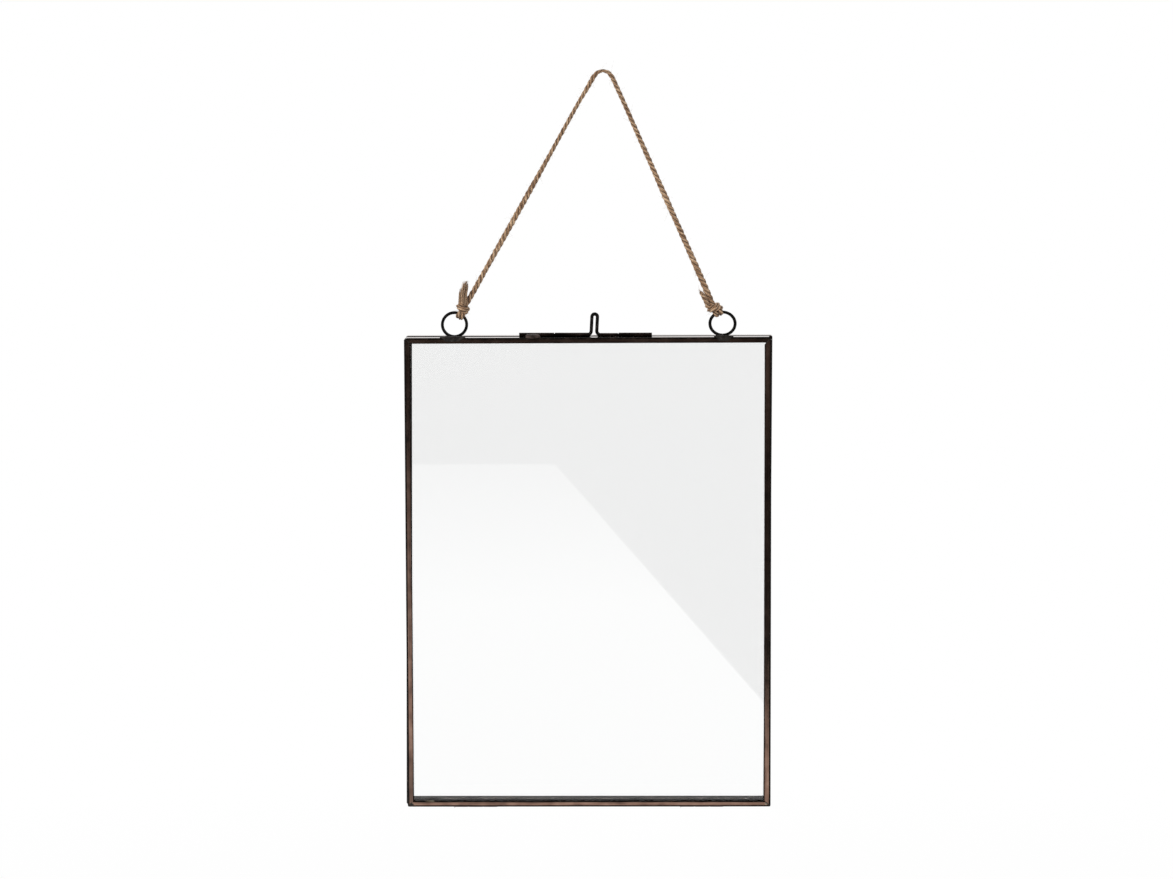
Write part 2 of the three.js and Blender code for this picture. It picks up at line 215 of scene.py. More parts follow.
def ramp(tree, factor, stops):
    """A colour ramp with the given (position, grey or colour) stops."""
    made = add(tree, "ValToRGB", {"Fac": factor})
    bands = made.color_ramp.elements
    while len(bands) < len(stops):
        bands.new(0.5)
    for band, (position, colour) in zip(bands, stops):
        band.position = position
        band.color = (*colour, 1) if isinstance(colour, tuple) else (colour, colour, colour, 1)
    return made.outputs["Color"]


def object_pattern(tree, stretch):
    """Object coordinates, stretched along chosen axes."""
    place = add(tree, "TexCoord").outputs["Object"]
    return add(tree, "Mapping", {"Vector": place, "Scale": stretch}).outputs["Vector"]


def cloudy(tree, place, scale, detail=4.0, roughness=0.55):
    settings = {"Vector": place, "Scale": scale, "Detail": detail, "Roughness": roughness}
    return add(tree, "TexNoise", settings).outputs["Fac"]


print("node helpers ready")

# %% [markdown]
# ## Floor, background and light
# The photograph is white all round. A white world that only the camera, mirrors and glass see gives that,
# while the light that falls on the object stays soft and plain. The floor mixes the same white with a real
# surface, so a little of the object's shadow stays on it.
#
# What makes the metal and the glass look as they do is what they mirror. Towards the bottom left they
# mirror a pale table top, and elsewhere the dark end of the room. So the floor stops short on the front
# right, and a dark panel stands behind the camera and leans over it as a roof. The panel is seen in
# reflections only: a ray that was never mirrored finds white there.

# %% World and lamp
AMBIENT_LIGHT = 0.62
LAMP_PLACE = Vector((-1.3, -1.8, 1.5))
LAMP_TARGET = Vector((0, 0, -0.15))
LAMP_SIZE = 1.4
LAMP_WATTS = 46

world = bpy.data.worlds.new("white_studio")
bpy.context.scene.world = world
world.use_nodes = True
tree = world.node_tree
tree.nodes.clear()


def seen_directly(tree):
    """1 for rays from the camera, a mirror or glass, and 0 for light that falls on things."""
    path = add(tree, "LightPath")
    either = add(tree, "Math", operation="MAXIMUM")
    tree.links.new(path.outputs["Is Camera Ray"], either.inputs[0])
    tree.links.new(path.outputs["Is Glossy Ray"], either.inputs[1])
    seen = add(tree, "Math", operation="MAXIMUM")
    tree.links.new(either.outputs[0], seen.inputs[0])
    tree.links.new(path.outputs["Is Transmission Ray"], seen.inputs[1])
    return seen.outputs[0]


ambient = add(tree, "Background", {"Color": (1, 1, 1, 1), "Strength": AMBIENT_LIGHT})
white = add(tree, "Background", {"Color": (1, 1, 1, 1), "Strength": 1.0})
chosen = add(tree, "MixShader", {"Fac": seen_directly(tree)})
tree.links.new(ambient.outputs[0], chosen.inputs[1])
tree.links.new(white.outputs[0], chosen.inputs[2])
tree.links.new(chosen.outputs[0], add(tree, "OutputWorld").inputs["Surface"])

clear_selection()
bpy.ops.object.light_add(type="AREA", location=LAMP_PLACE)
lamp = bpy.context.object
lamp.name = "soft_lamp"
lamp.data.size = LAMP_SIZE
lamp.data.energy = LAMP_WATTS
lamp.rotation_euler = (LAMP_TARGET - LAMP_PLACE).to_track_quat("-Z", "Y").to_euler()
lamp.visible_glossy = False
print("world and lamp ready")

# %% Floor material
FLOOR_WHITE = 0.9
FLOOR_GLOW = 0.86  # how much of the seen floor is plain white under the object; far away it is all of it
GLOW_NEAR = 0.3
GLOW_FAR = 1.3
TABLE_FRONT = -2.763
TABLE_BRIGHT = -1.922  # from here towards the object the table is at its brightest
TABLE_FRONT_GLOW = 0.45
TABLE_GLOW = 0.9


def mirrored(tree):
    """1 for a ray that was mirrored on its way, and 0 for any other."""
    path = add(tree, "LightPath")
    return add(tree, "Math", {0: path.outputs["Glossy Depth"], 1: 1.0}, operation="MINIMUM").outputs[0]


def floor_finish():
    finish, tree, shader = new_finish("pale_floor", Base_Color=(FLOOR_WHITE,) * 3 + (1,), Roughness=0.9)
    place = add(tree, "TexCoord").outputs["Object"]
    depth = add(tree, "SeparateXYZ", {"Vector": place}).outputs["Y"]
    reach = {"From Min": TABLE_FRONT, "From Max": TABLE_BRIGHT,
             "To Min": TABLE_FRONT_GLOW, "To Max": TABLE_GLOW}
    fade = add(tree, "MapRange", {"Value": depth, **reach}).outputs["Result"]
    glow = add(tree, "Mix", {"Factor": mirrored(tree), "A": 1.0, "B": fade}, data_type="FLOAT")
    plain = add(tree, "Emission", {"Strength": glow.outputs["Result"]})
    away = add(tree, "VectorMath", {0: place}, operation="LENGTH").outputs["Value"]
    spread = {"From Min": GLOW_NEAR, "From Max": GLOW_FAR, "To Min": FLOOR_GLOW, "To Max": 1.0}
    white = add(tree, "MapRange", {"Value": away, **spread}).outputs["Result"]
    share = add(tree, "Math", {0: seen_directly(tree), 1: white}, operation="MULTIPLY").outputs[0]
    lit = add(tree, "MixShader", {"Fac": share, 1: shader.outputs[0], 2: plain.outputs[0]})
    under = add(tree, "NewGeometry").outputs["Backfacing"]
    clear = add(tree, "BsdfTransparent")
    whole = add(tree, "MixShader", {"Fac": under, 1: lit.outputs[0], 2: clear.outputs[0]})
    tree.links.new(whole.outputs[0], tree.nodes["Material Output"].inputs["Surface"])
    return finish


pale_floor = floor_finish()
print("floor material ready")

# %% Floor and table
FLOOR_LEVEL = -0.53  # low enough for the back leaf to hang open
FLOOR_HALF_WIDTH = 6.0
FLOOR_BACK = 16.0
FLOOR_FRONT = -1.126
TABLE_CORNER = Vector((-0.0545, TABLE_FRONT, FLOOR_LEVEL))
TABLE_EDGE_POINT = Vector((0.107, -1.49, FLOOR_LEVEL))


def flat_rectangle(name, low_x, high_x, low_y, high_y):
    clear_selection()
    middle = ((low_x + high_x) / 2, (low_y + high_y) / 2, FLOOR_LEVEL)
    bpy.ops.mesh.primitive_plane_add(size=1, location=middle)
    bpy.context.object.scale = (high_x - low_x, high_y - low_y, 1)
    return settle(name)


floor = flat_rectangle("floor", -FLOOR_HALF_WIDTH, FLOOR_HALF_WIDTH, FLOOR_FRONT, FLOOR_BACK)
floor.data.materials.append(pale_floor)
table = flat_rectangle("front_table", -FLOOR_HALF_WIDTH, FLOOR_HALF_WIDTH, TABLE_FRONT, FLOOR_FRONT)
table.data.materials.append(pale_floor)
slope = TABLE_EDGE_POINT - TABLE_CORNER
beyond = Vector((slope.y, -slope.x, 0)).normalized()
edit_mode()
bpy.ops.mesh.bisect(plane_co=TABLE_CORNER, plane_no=beyond, clear_outer=True)
object_mode()
print("floor at", FLOOR_LEVEL, "m, and a table with", len(table.data.vertices), "corners")

# %% Dark panel
PANEL_PLACE = Vector((0, -2.9, -0.5))
PANEL_SIZE = (6.0, 4.2)
PANEL_ROOF = 3.5
PANEL_GREY = 0.075

clear_selection()
bpy.ops.mesh.primitive_plane_add(size=1, location=PANEL_PLACE, rotation=(math.pi / 2, 0, 0))
panel = bpy.context.object
panel.scale = (*PANEL_SIZE, 1)
panel = settle("dark_panel")
edit_mode()
pick("EDGE", lambda edge: min(vert.co.z for vert in edge.verts) > PANEL_PLACE.z)
bpy.ops.mesh.extrude_region_move(TRANSFORM_OT_translate={"value": (0, PANEL_ROOF, 0)})
object_mode()
dark_room, tree, _ = new_finish("dark_room")
grey = add(tree, "Mix", {"Factor": mirrored(tree), "A": 1.0, "B": PANEL_GREY}, data_type="FLOAT")
dark = add(tree, "Emission", {"Strength": grey.outputs["Result"]})
tree.links.new(dark.outputs[0], tree.nodes["Material Output"].inputs["Surface"])
panel.data.materials.append(dark_room)
panel.visible_camera = False
panel.visible_diffuse = False
panel.visible_shadow = False
print("panel of", PANEL_SIZE, "m; floor, table and panel are the stage")

# %% [markdown]
# ## The jute cord
# The cord is a loose three-ply jute twine, about 2 mm thick, thinner where it is pulled over the hanging
# point and fuller near the knots. It could be a curve with a round bevel and a bump map, but then its edge
# would be smooth and the grooves between the plies would vanish from the side. So each ply is swept as a
# tube of its own, winding round the cord's line, with shallow ridges for the yarns that it is spun from.
#
# First come two tools: even steps along a smooth curve through given points, and directions across
# that curve which do not spin as they travel.

# %% Smooth paths
POINTS_PER_SPAN = 30


def smooth_path(points, spacing):
    """Evenly spaced points on a centripetal Catmull-Rom curve through the given points."""
    given = np.array([tuple(point) for point in points], float)
    ends = np.vstack([2 * given[0] - given[1], given, 2 * given[-1] - given[-2]])
    fine = []
    for i in range(len(given) - 1):
        p0, p1, p2, p3 = ends[i : i + 4]
        t1 = math.sqrt(np.linalg.norm(p1 - p0))
        t2 = t1 + math.sqrt(np.linalg.norm(p2 - p1))
        t3 = t2 + math.sqrt(np.linalg.norm(p3 - p2))
        t = np.linspace(t1, t2, POINTS_PER_SPAN, endpoint=False)[:, None]
        a1 = (t1 - t) / t1 * p0 + t / t1 * p1
        a2 = (t2 - t) / (t2 - t1) * p1 + (t - t1) / (t2 - t1) * p2
        a3 = (t3 - t) / (t3 - t2) * p2 + (t - t2) / (t3 - t2) * p3
        b1 = (t2 - t) / t2 * a1 + t / t2 * a2
        b2 = (t3 - t) / (t3 - t1) * a2 + (t - t1) / (t3 - t1) * a3
        fine.append((t2 - t) / (t2 - t1) * b1 + (t - t1) / (t2 - t1) * b2)
    fine = np.vstack([*fine, given[-1:]])
    along = distance_along(fine)
    even = np.linspace(0, along[-1], max(2, round(along[-1] / spacing)) + 1)
    return np.column_stack([np.interp(even, along, fine[:, axis]) for axis in range(3)])


def distance_along(path):
    steps = np.linalg.norm(np.diff(path, axis=0), axis=1)
    return np.concatenate([[0], np.cumsum(steps)])


def unit(vectors):
    return vectors / np.linalg.norm(vectors, axis=-1, keepdims=True)


def cross_directions(path):
    """Two directions across the path at each point, carried along without spinning."""
    tangents = unit(np.gradient(path, axis=0))
    first = np.cross(tangents[0], (0, 1, 0) if abs(tangents[0][1]) < 0.9 else (1, 0, 0))
    across = []
    for tangent in tangents:
        first = unit(first - tangent * np.dot(first, tangent))
        across.append(first)
    across = np.array(across)
    return across, np.cross(tangents, across)


print("path tools ready")

# %% [markdown]
# ### Sweeping the plies
# `twisted_rope` lays the plies round a path. Each ring of points keeps a note of how far it faces outwards,
# stored as the attribute `outward`, so that the material can paint shade into the grooves. The UV map runs
# round the ply in U and along it in V, which lets the fibres follow the twist.

# %% Tubes in one mesh
UV_LENGTH = 10 * MM  # of twine, for one step in V
UV_OFFSET = 3.7  # moves the pattern on from one tube to the next


def tube_mesh(name, sweeps):
    """One mesh of closed tubes; a sweep has rings of points, distances along, and how far points face out."""
    points, faces, face_uvs, outward = [], [], [], []
    for number, (rings, along, facing) in enumerate(sweeps):
        first = len(points)
        count, sides = rings.shape[:2]
        points.extend(rings.reshape(-1, 3))
        outward.extend(facing.reshape(-1))
        v = along / UV_LENGTH + UV_OFFSET * number
        for i in range(count - 1):
            for j in range(sides):
                k = (j + 1) % sides
                low, high = first + i * sides, first + (i + 1) * sides
                faces.append((low + j, low + k, high + k, high + j))
                left, right = j / sides, (j + 1) / sides
                face_uvs.extend([(left, v[i]), (right, v[i]), (right, v[i + 1]), (left, v[i + 1])])
        last = first + (count - 1) * sides
        faces.append(tuple(first + j for j in reversed(range(sides))))
        faces.append(tuple(last + j for j in range(sides)))
        face_uvs.extend([(j / sides, v[0]) for j in reversed(range(sides))])
        face_uvs.extend([(j / sides, v[-1]) for j in range(sides)])
    mesh = bpy.data.meshes.new(name)
    mesh.from_pydata([tuple(point) for point in points], [], faces)
    mesh.uv_layers.new(name="UVMap").data.foreach_set("uv", np.array(face_uvs, np.float32).ravel())
    mesh.attributes.new("outward", "FLOAT", "POINT").data.foreach_set("value", np.array(outward, np.float32))
    mesh.polygons.foreach_set("use_smooth", [True] * len(mesh.polygons))
    made = bpy.data.objects.new(name, mesh)
    bpy.context.scene.collection.objects.link(made)
    return made


print("tube maker ready")

# %% The rope maker
PLIES = 3
PLY_SIDES = 14
PLY_REACH = 0.5  # a ply's middle and its radius, as shares of the rope's radius
PLY_RADIUS = 0.52
YARNS = 5
YARN_RIDGE = 0.055
YARN_LAY = 4.2 * MM


def twisted_rope(name, path, diameters, lay, twist_from=0.0):
    """A rope of plies wound round the path; diameters has one value for each point of the path."""
    across, over = cross_directions(path)
    along = distance_along(path)
    radius = np.asarray(diameters)[:, None] / 2
    angles = np.linspace(0, 2 * math.pi, PLY_SIDES, endpoint=False)
    sweeps = []
    for ply in range(PLIES):
        turns = (twist_from - 2 * math.pi * (along / lay + ply / PLIES))[:, None]
        away = across * np.cos(turns) + over * np.sin(turns)
        middle = path + away * radius * PLY_REACH
        heading = unit(np.gradient(middle, axis=0))
        away = unit(away - heading * np.sum(away * heading, axis=1, keepdims=True))
        beside = np.cross(heading, away)
        ridges = 1 + YARN_RIDGE * np.cos(YARNS * angles[None, :] + 2 * math.pi * along[:, None] / YARN_LAY)
        reach = radius * PLY_RADIUS * ridges
        circle = (away[:, None, :] * np.cos(angles)[None, :, None]
                  + beside[:, None, :] * np.sin(angles)[None, :, None])
        rings = middle[:, None, :] + reach[:, :, None] * circle
        # how far each point faces out, which the jute material turns into painted shade in the grooves
        facing = np.repeat((0.5 + 0.5 * np.cos(angles))[None, :], len(path), axis=0)
        sweeps.append((rings, along, facing))
    return tube_mesh(name, sweeps)


print("rope maker ready:", PLIES, "plies")

# %% [markdown]
# ### Jute, up close
# Raw jute is a dull gold that runs from straw to brown, with long fibres in every shade. The fibre pattern
# is noise on the UV map, drawn out along the ply. A slower pattern makes whole stretches lighter or darker,
# and shade is painted into the grooves between the plies through the `outward` attribute, which on loose
# fibres and hairs carries each fibre's own tone instead.

# %% Jute material
JUTE_DARK = (0.07, 0.027, 0.009)
JUTE_MIDDLE = (0.28, 0.152, 0.074)
JUTE_LIGHT = (0.63, 0.45, 0.285)
JUTE_STOPS = (0.385, 0.49, 0.6)
FIBRE_STRETCH = (9, 2.4, 1)  # many across the ply, few along it
FIBRE_SLANT = 0.35
FIBRE_FINENESS = 3.0
FIBRE_HEIGHT = 0.08 * MM
PATCH_STRETCH = (0.8, 1.6, 1)
PATCH_FINENESS = 1.7
PATCH_SHARE = 0.45
# painted shade in the grooves between the plies, read from the outward attribute
GROOVE_SHADE = 0.12
GROOVE_STOPS = (0.4, 0.85)


def jute_finish(name):
    finish, tree, shader = new_finish(name, Roughness=0.92, Sheen_Weight=0.1, Sheen_Roughness=0.6)
    plies = add(tree, "UVMap", uv_map="UVMap").outputs["UV"]
    turned = (0, 0, FIBRE_SLANT)
    fibre_place = add(tree, "Mapping", {"Vector": plies, "Scale": FIBRE_STRETCH, "Rotation": turned})
    fibres = cloudy(tree, fibre_place.outputs["Vector"], FIBRE_FINENESS, detail=6, roughness=0.7)
    patch_place = add(tree, "Mapping", {"Vector": plies, "Scale": PATCH_STRETCH})
    patches = cloudy(tree, patch_place.outputs["Vector"], PATCH_FINENESS, detail=2)
    both = {"Factor": PATCH_SHARE, "A": fibres, "B": patches}
    mixed = add(tree, "Mix", both, data_type="FLOAT").outputs["Result"]
    colour = ramp(tree, mixed, list(zip(JUTE_STOPS, (JUTE_DARK, JUTE_MIDDLE, JUTE_LIGHT))))
    # painted shade in the grooves of the plies; on loose fibres and hairs, their own tone
    facing = add(tree, "Attribute", attribute_name="outward").outputs["Fac"]
    shade = ramp(tree, facing, list(zip(GROOVE_STOPS, (GROOVE_SHADE, 1.0))))
    mix = add(tree, "Mix", {"Factor": 1.0, "A": colour, "B": shade}, data_type="RGBA", blend_type="MULTIPLY")
    tree.links.new(mix.outputs["Result"], shader.inputs["Base Color"])
    bump = add(tree, "Bump", {"Height": fibres, "Strength": 0.6, "Distance": FIBRE_HEIGHT})
    tree.links.new(bump.outputs["Normal"], shader.inputs["Normal"])
    return finish


jute = jute_finish("raw_jute")
print("jute material ready")

# %% [markdown]
# ### Where the rings hold the cord
# Each ring is soldered to the front leaf and leans back, so that the cord pulls above the seam between the
# leaves. The swing joint says where that line is. From it follow the lean of the rings, and the point on
# each ring where the knot sits.

# %% Rings and grip points
RING_RADIUS = 5.1 * MM
RING_WIRE = 1.28 * MM


def box_middle(node):
    low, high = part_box(node)
    return (low + high) / 2


joints = {joint["name"]: joint for joint in frame["record"]["behaviour"]["joints"]}
swing_axis = Vector(joints["frame_swing"]["pos_m"])
rail_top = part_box("front_top_rail")[1].z
ring_foot = box_middle("front_top_rail").y
ring_lean = math.atan2(swing_axis.y - ring_foot, swing_axis.z - rail_top)
ring_up = Vector((0, math.sin(ring_lean), math.cos(ring_lean)))


def grip_point(ring, side):
    """The point of a ring's wire on the swing line; side is 1 for its right half and -1 for its left."""
    middle = box_middle(ring)
    rise = (swing_axis.y - middle.y) / ring_up.y
    return middle + ring_up * rise + Vector((side * math.sqrt(RING_RADIUS**2 - rise**2), 0, 0))


left_grip = grip_point("left_ring", 1)
right_grip = grip_point("right_ring", -1)
print("rings lean", round(math.degrees(ring_lean), 1), "degrees; grips at", left_grip / MM, right_grip / MM)

# %% [markdown]
# ### Winding the cord
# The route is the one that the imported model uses, read from the photograph: two nearly straight runs and a
# tight bend over the hanging point. The last few millimetres at each end run into the knots.

# %% The cord
CORD_ROUTE = [  # X and Z in metres, from the left knot over the hanging point to the right knot
    (-0.0546, -0.0917), (-0.0509, -0.0851), (-0.0466, -0.0774), (-0.0406, -0.0668), (-0.0346, -0.0561),
    (-0.0286, -0.0454), (-0.0227, -0.0348), (-0.0168, -0.0241), (-0.0109, -0.0135), (-0.0066, -0.0062),
    (-0.0035, -0.00095), (-0.0020, 0.0005), (0.0, 0.00105), (0.0020, 0.0005), (0.0036, -0.0012),
    (0.0060, -0.0062), (0.0097, -0.0144), (0.0147, -0.0258), (0.0197, -0.0372), (0.0247, -0.0486),
    (0.0297, -0.0600), (0.0347, -0.0713), (0.0393, -0.0818), (0.0424, -0.0889),
]
CORD_THICKNESS = [  # share of the length, and mm
    (0, 2.5), (0.09, 2.15), (0.14, 2.4), (0.25, 2.35), (0.32, 1.85), (0.44, 1.7), (0.49, 2.15),
    (0.5125, 1.35), (0.53, 2.0), (0.6, 1.95), (0.74, 2.2), (0.775, 2.55), (0.82, 2.3), (0.92, 2.6), (1, 2.8),
]
CORD_LAY = 7.6 * MM
CORD_STEP = 0.4 * MM
CORD_IN_KNOT = 2.2 * MM


def thickness_along(path, stops):
    """A diameter for each point of a path, from stops of (share of the length, mm)."""
    along = distance_along(path)
    return np.interp(along / along[-1], *zip(*stops)) * MM


route = [Vector((x, 0, z)) for x, z in CORD_ROUTE]
left_up = (route[0] - left_grip).normalized()
right_up = (route[-1] - right_grip).normalized()
route = [left_grip + left_up * CORD_IN_KNOT, *route, right_grip + right_up * CORD_IN_KNOT]
cord_path = smooth_path(route, CORD_STEP)
cord_diameters = thickness_along(cord_path, CORD_THICKNESS)
cord = twisted_rope("twisted_cord", cord_path, cord_diameters, CORD_LAY)
dress(cord, "cord", "jute", jute, "jute_cord")
print("cord length in mm:", round(distance_along(cord_path)[-1] / MM, 1))

# %% [markdown]
# ### Tying the knots
# At each ring the twine comes down, goes round the ring's wire, and winds round itself before its end
# leaves as a short tail. The knot is one more length of the same rope, on a path drawn in the knot's own
# axes: up along the cord, left across it, and forward.

# %% The knots
LEFT_KNOT_TURNS = [  # up, left and forward in mm, from the ring's wire
    (3.0, -0.3, 0.2), (1.4, -0.9, 1.2), (0.0, -1.15, 1.6), (-1.1, -1.15, 1.1), (-1.5, -1.05, 0.0),
    (-1.1, -0.7, -1.1), (0.0, -0.3, -1.6), (1.2, 0.3, -1.3), (1.6, 0.6, 0.0), (1.0, 0.5, 1.3),
    (0.0, 0.4, 1.65), (-1.1, 0.4, 1.1), (-1.45, 0.3, 0.0), (-1.1, 0.1, -1.2), (0.0, -0.1, -1.75),
    (1.1, -0.6, -1.85), (1.6, -1.55, -0.8), (1.75, -1.6, 0.9), (1.9, -0.1, 2.1), (2.0, 1.6, 1.65),
    (2.3, 2.35, -0.1), (2.7, 1.5, -1.65), (2.9, -0.1, -1.95), (3.1, -1.55, -0.8), (3.0, -1.4, 1.0),
    (3.0, 0.3, 2.2), (3.4, 1.75, 1.7), (4.4, 2.2, 0.9),
]
RIGHT_KNOT_TURNS = [
    (3.0, -0.2, 0.3), (1.5, -1.7, 1.2), (0.3, -2.3, 1.6), (-0.5, -2.2, 1.2), (-0.85, -2.0, 0.1),
    (-0.6, -1.5, -1.1), (0.2, -0.9, -1.6), (1.3, -0.1, -1.3), (1.6, 0.4, 0.0), (1.0, 0.2, 1.35),
    (0.1, 0.0, 1.65), (-0.6, -0.1, 1.15), (-0.9, -0.2, 0.0), (-0.65, -0.4, -1.2), (0.1, -0.8, -1.8),
    (0.9, -1.6, -1.9), (1.3, -2.6, -0.9), (1.5, -2.8, 0.6), (1.7, -1.2, 2.1), (2.0, 0.8, 2.1),
    (2.3, 1.9, 0.6), (2.6, 1.6, -0.9), (2.8, 0.4, -1.9), (2.9, -1.5, -1.5), (2.95, -2.15, 0.2),
    (2.9, -0.8, 1.8), (3.1, 1.0, 1.8), (3.8, 1.85, 1.1), (4.6, 2.2, 0.7),
]
LEFT_KNOT_ROPE = 1.95 * MM
RIGHT_KNOT_ROPE = 2.0 * MM
KNOT_STEP = 0.25 * MM
KNOT_LAY = 7.0 * MM
KNOT_TWIST = 0.8


def knot_place(grip, up, across, height, left, forward):
    return grip + (up * height + across * left - Y * forward) * MM


def tie_knot(name, grip, up, turns, thickness, node):
    across = Vector((-up.z, 0, up.x))
    path = smooth_path([knot_place(grip, up, across, *turn) for turn in turns], KNOT_STEP)
    knot = twisted_rope(name, path, np.full(len(path), thickness), KNOT_LAY, KNOT_TWIST)
    dress(knot, "cord", "jute", jute, node)
    return knot


left_knot = tie_knot("knot_left_wraps", left_grip, left_up, LEFT_KNOT_TURNS, LEFT_KNOT_ROPE, "left_knot")
right_knot = tie_knot("knot_right_wraps", right_grip, right_up, RIGHT_KNOT_TURNS, RIGHT_KNOT_ROPE,
                      "right_knot")
print("knots of", len(LEFT_KNOT_TURNS), "and", len(RIGHT_KNOT_TURNS), "path points")

# %% [markdown]
# ### Loose ends and stray fibres
# The left end has come undone into a brush of fibres, and the right end is short and still twisted, with a
# tuft at its cut. Stray hairs stand off the whole cord. Each fibre is a thin tapered tube with three or
# four sides: enough for a hair, and few enough that hundreds of them weigh little. The random numbers are
# seeded, so every run draws the same hairs.

# %% The fibre maker
FIBRE_DRAW = 0.3  # draws the pattern out along a single fibre
FIBRE_TIP = 0.25  # how thick the tip is, as a share of the root
FIBRE_SIDES = 4
HAIR_SIDES = 3


def fibre_sweep(points, width, sides, tone=0.8):
    """Rings of a thin tube along a few points, which narrows to its tip; a low tone is a dark fibre."""
    path = np.array([tuple(point) for point in points])
    across, over = cross_directions(path)
    angles = np.linspace(0, 2 * math.pi, sides, endpoint=False)
    taper = np.linspace(1, FIBRE_TIP, len(path))[:, None, None] * width / 2
    circle = (across[:, None, :] * np.cos(angles)[None, :, None]
              + over[:, None, :] * np.sin(angles)[None, :, None])
    rings = path[:, None, :] + taper * circle
    return rings, distance_along(path) * FIBRE_DRAW, np.full((len(path), sides), tone)


print("fibre maker ready")

# %% The frayed left end
TAIL_LEFT_LINE = [  # mm
    (-59.3, -1.0, -97.9), (-59.0, -1.9, -94.8), (-58.7, -2.6, -91.2), (-57.9, -2.9, -86.7),
]
TAIL_YARNS = [(-0.72, 0.78), (-0.2, 0.97), (0.3, 0.66), (0.78, 0.95)]  # place across the brush, and tone
YARN_FIBRES = 34
TAIL_HALF_WIDTH = 1.75 * MM
TAIL_HALF_DEPTH = 1.15 * MM
TAIL_STEP = 0.2 * MM
FIBRE_POINTS = 9
FIBRE_SPREAD = 0.15  # of the fibres in a yarn, across the brush
LONGEST_PLACE = 0.15  # the brush is longest a little right of its middle, and shorter to both sides
SHORTER_ASIDE = 0.32
LONGEST_FIBRE, FIBRE_LOSS = 1.06, 0.36  # lengths, as shares of the brush
LEAST_DEPTH = 0.1
ROOT_WIDTH, WIDTH_GROWTH = 0.82, 0.25  # the brush widens towards its tip
BEND_ACROSS = (0.25, 0.45)  # mean and spread of a fibre's bend, in mm
BEND_DEEP = (0, 0.5)
FIBRE_WIDTH = (0.22, 0.44)  # mm
FIBRE_TONE = (-0.12, 0.1)

chance = random.Random(5)
tail_line = smooth_path([Vector(point) * MM for point in TAIL_LEFT_LINE], TAIL_STEP)
sweeps = []
for place, tone in TAIL_YARNS:
    for _ in range(YARN_FIBRES):
        sideways = place + chance.gauss(0, FIBRE_SPREAD)
        depth = chance.uniform(-1, 1) * math.sqrt(max(LEAST_DEPTH, 1 - sideways**2))
        shorter = 1 - SHORTER_ASIDE * abs(LONGEST_PLACE - sideways)
        reach = shorter * (LONGEST_FIBRE - FIBRE_LOSS * chance.random() ** 2)
        bend = Vector((chance.gauss(*BEND_ACROSS), chance.gauss(*BEND_DEEP), 0)) * MM
        points = []
        for share in np.linspace(0, reach, FIBRE_POINTS):
            middle = Vector(tail_line[min(round(share * len(tail_line)), len(tail_line) - 1)])
            aside = Vector((sideways * TAIL_HALF_WIDTH, depth * TAIL_HALF_DEPTH, 0))
            points.append(middle + aside * (ROOT_WIDTH + WIDTH_GROWTH * share) + bend * share**3)
        width = chance.uniform(*FIBRE_WIDTH) * MM
        sweeps.append(fibre_sweep(points, width, FIBRE_SIDES, tone=tone + chance.uniform(*FIBRE_TONE)))
frayed_end = tube_mesh("frayed_end_left", sweeps)
dress(frayed_end, "cord", "jute", jute, "left_tail")
print("frayed end:", len(sweeps), "fibres")

# %% The cut right end
TAIL_RIGHT_LINE = [(44.2, -1.3, -97.9), (43.6, -1.9, -96.6), (42.5, -2.4, -94.2), (41.0, -2.7, -91.6)]  # mm
TAIL_RIGHT_THICKNESS = [(0, 1.9), (0.5, 2.1), (0.8, 1.95), (1, 1.6)]

tail_path = smooth_path([Vector(point) * MM for point in TAIL_RIGHT_LINE], KNOT_STEP)
tail_diameters = thickness_along(tail_path, TAIL_RIGHT_THICKNESS)
cut_end = twisted_rope("cut_end_right", tail_path, tail_diameters, KNOT_LAY)
dress(cut_end, "cord", "jute", jute, "right_tail")
print("cut end:", round(distance_along(tail_path)[-1] / MM, 1), "mm")

# %% Hairs along the cord
CORD_HAIRS = 420
HAIR_STEPS = 4
HAIR_CURL = 0.35
HAIR_LIFT = 0.75
HAIR_BEND = 1.6  # a higher power keeps a hair close to the twine for longer
HAIR_ROOT = 0.42  # how deep a hair starts, as a share of the twine's thickness
BARE_ENDS = 8  # points of the cord at each end that grow no hair
HAIR_WIDTH = (0.05, 0.1)  # mm
HAIR_LENGTH = (0.7, 2.3)  # mm
LONG_HAIRS = 0.08  # the share of hairs that are longer, and by how much
LONGER = 1.5


def any_way():
    return Vector((chance.gauss(0, 1), chance.gauss(0, 1), chance.gauss(0, 1)))


def hair(root, away, heading, length, width):
    """A hair that leaves the twine along its heading and bends away from it."""
    curl = any_way() * HAIR_CURL
    points = []
    for step in range(HAIR_STEPS + 1):
        share = step / HAIR_STEPS
        points.append(root + (heading * share + (away * HAIR_LIFT + curl) * share**HAIR_BEND) * length)
    return fibre_sweep(points, width, HAIR_SIDES)


chance = random.Random(23)
across, over = cross_directions(cord_path)
headings = unit(np.gradient(cord_path, axis=0))
sweeps = []
for _ in range(CORD_HAIRS):
    i = chance.randrange(BARE_ENDS, len(cord_path) - BARE_ENDS)
    angle = chance.uniform(0, 2 * math.pi)
    away = Vector(across[i]) * math.cos(angle) + Vector(over[i]) * math.sin(angle)
    heading = Vector(headings[i]) * chance.choice((-1, 1))
    root = Vector(cord_path[i]) + away * cord_diameters[i] * HAIR_ROOT
    length = chance.uniform(*HAIR_LENGTH) * MM * (LONGER if chance.random() < LONG_HAIRS else 1)
    sweeps.append(hair(root, away, heading, length, chance.uniform(*HAIR_WIDTH) * MM))
print("hairs along the cord:", len(sweeps))

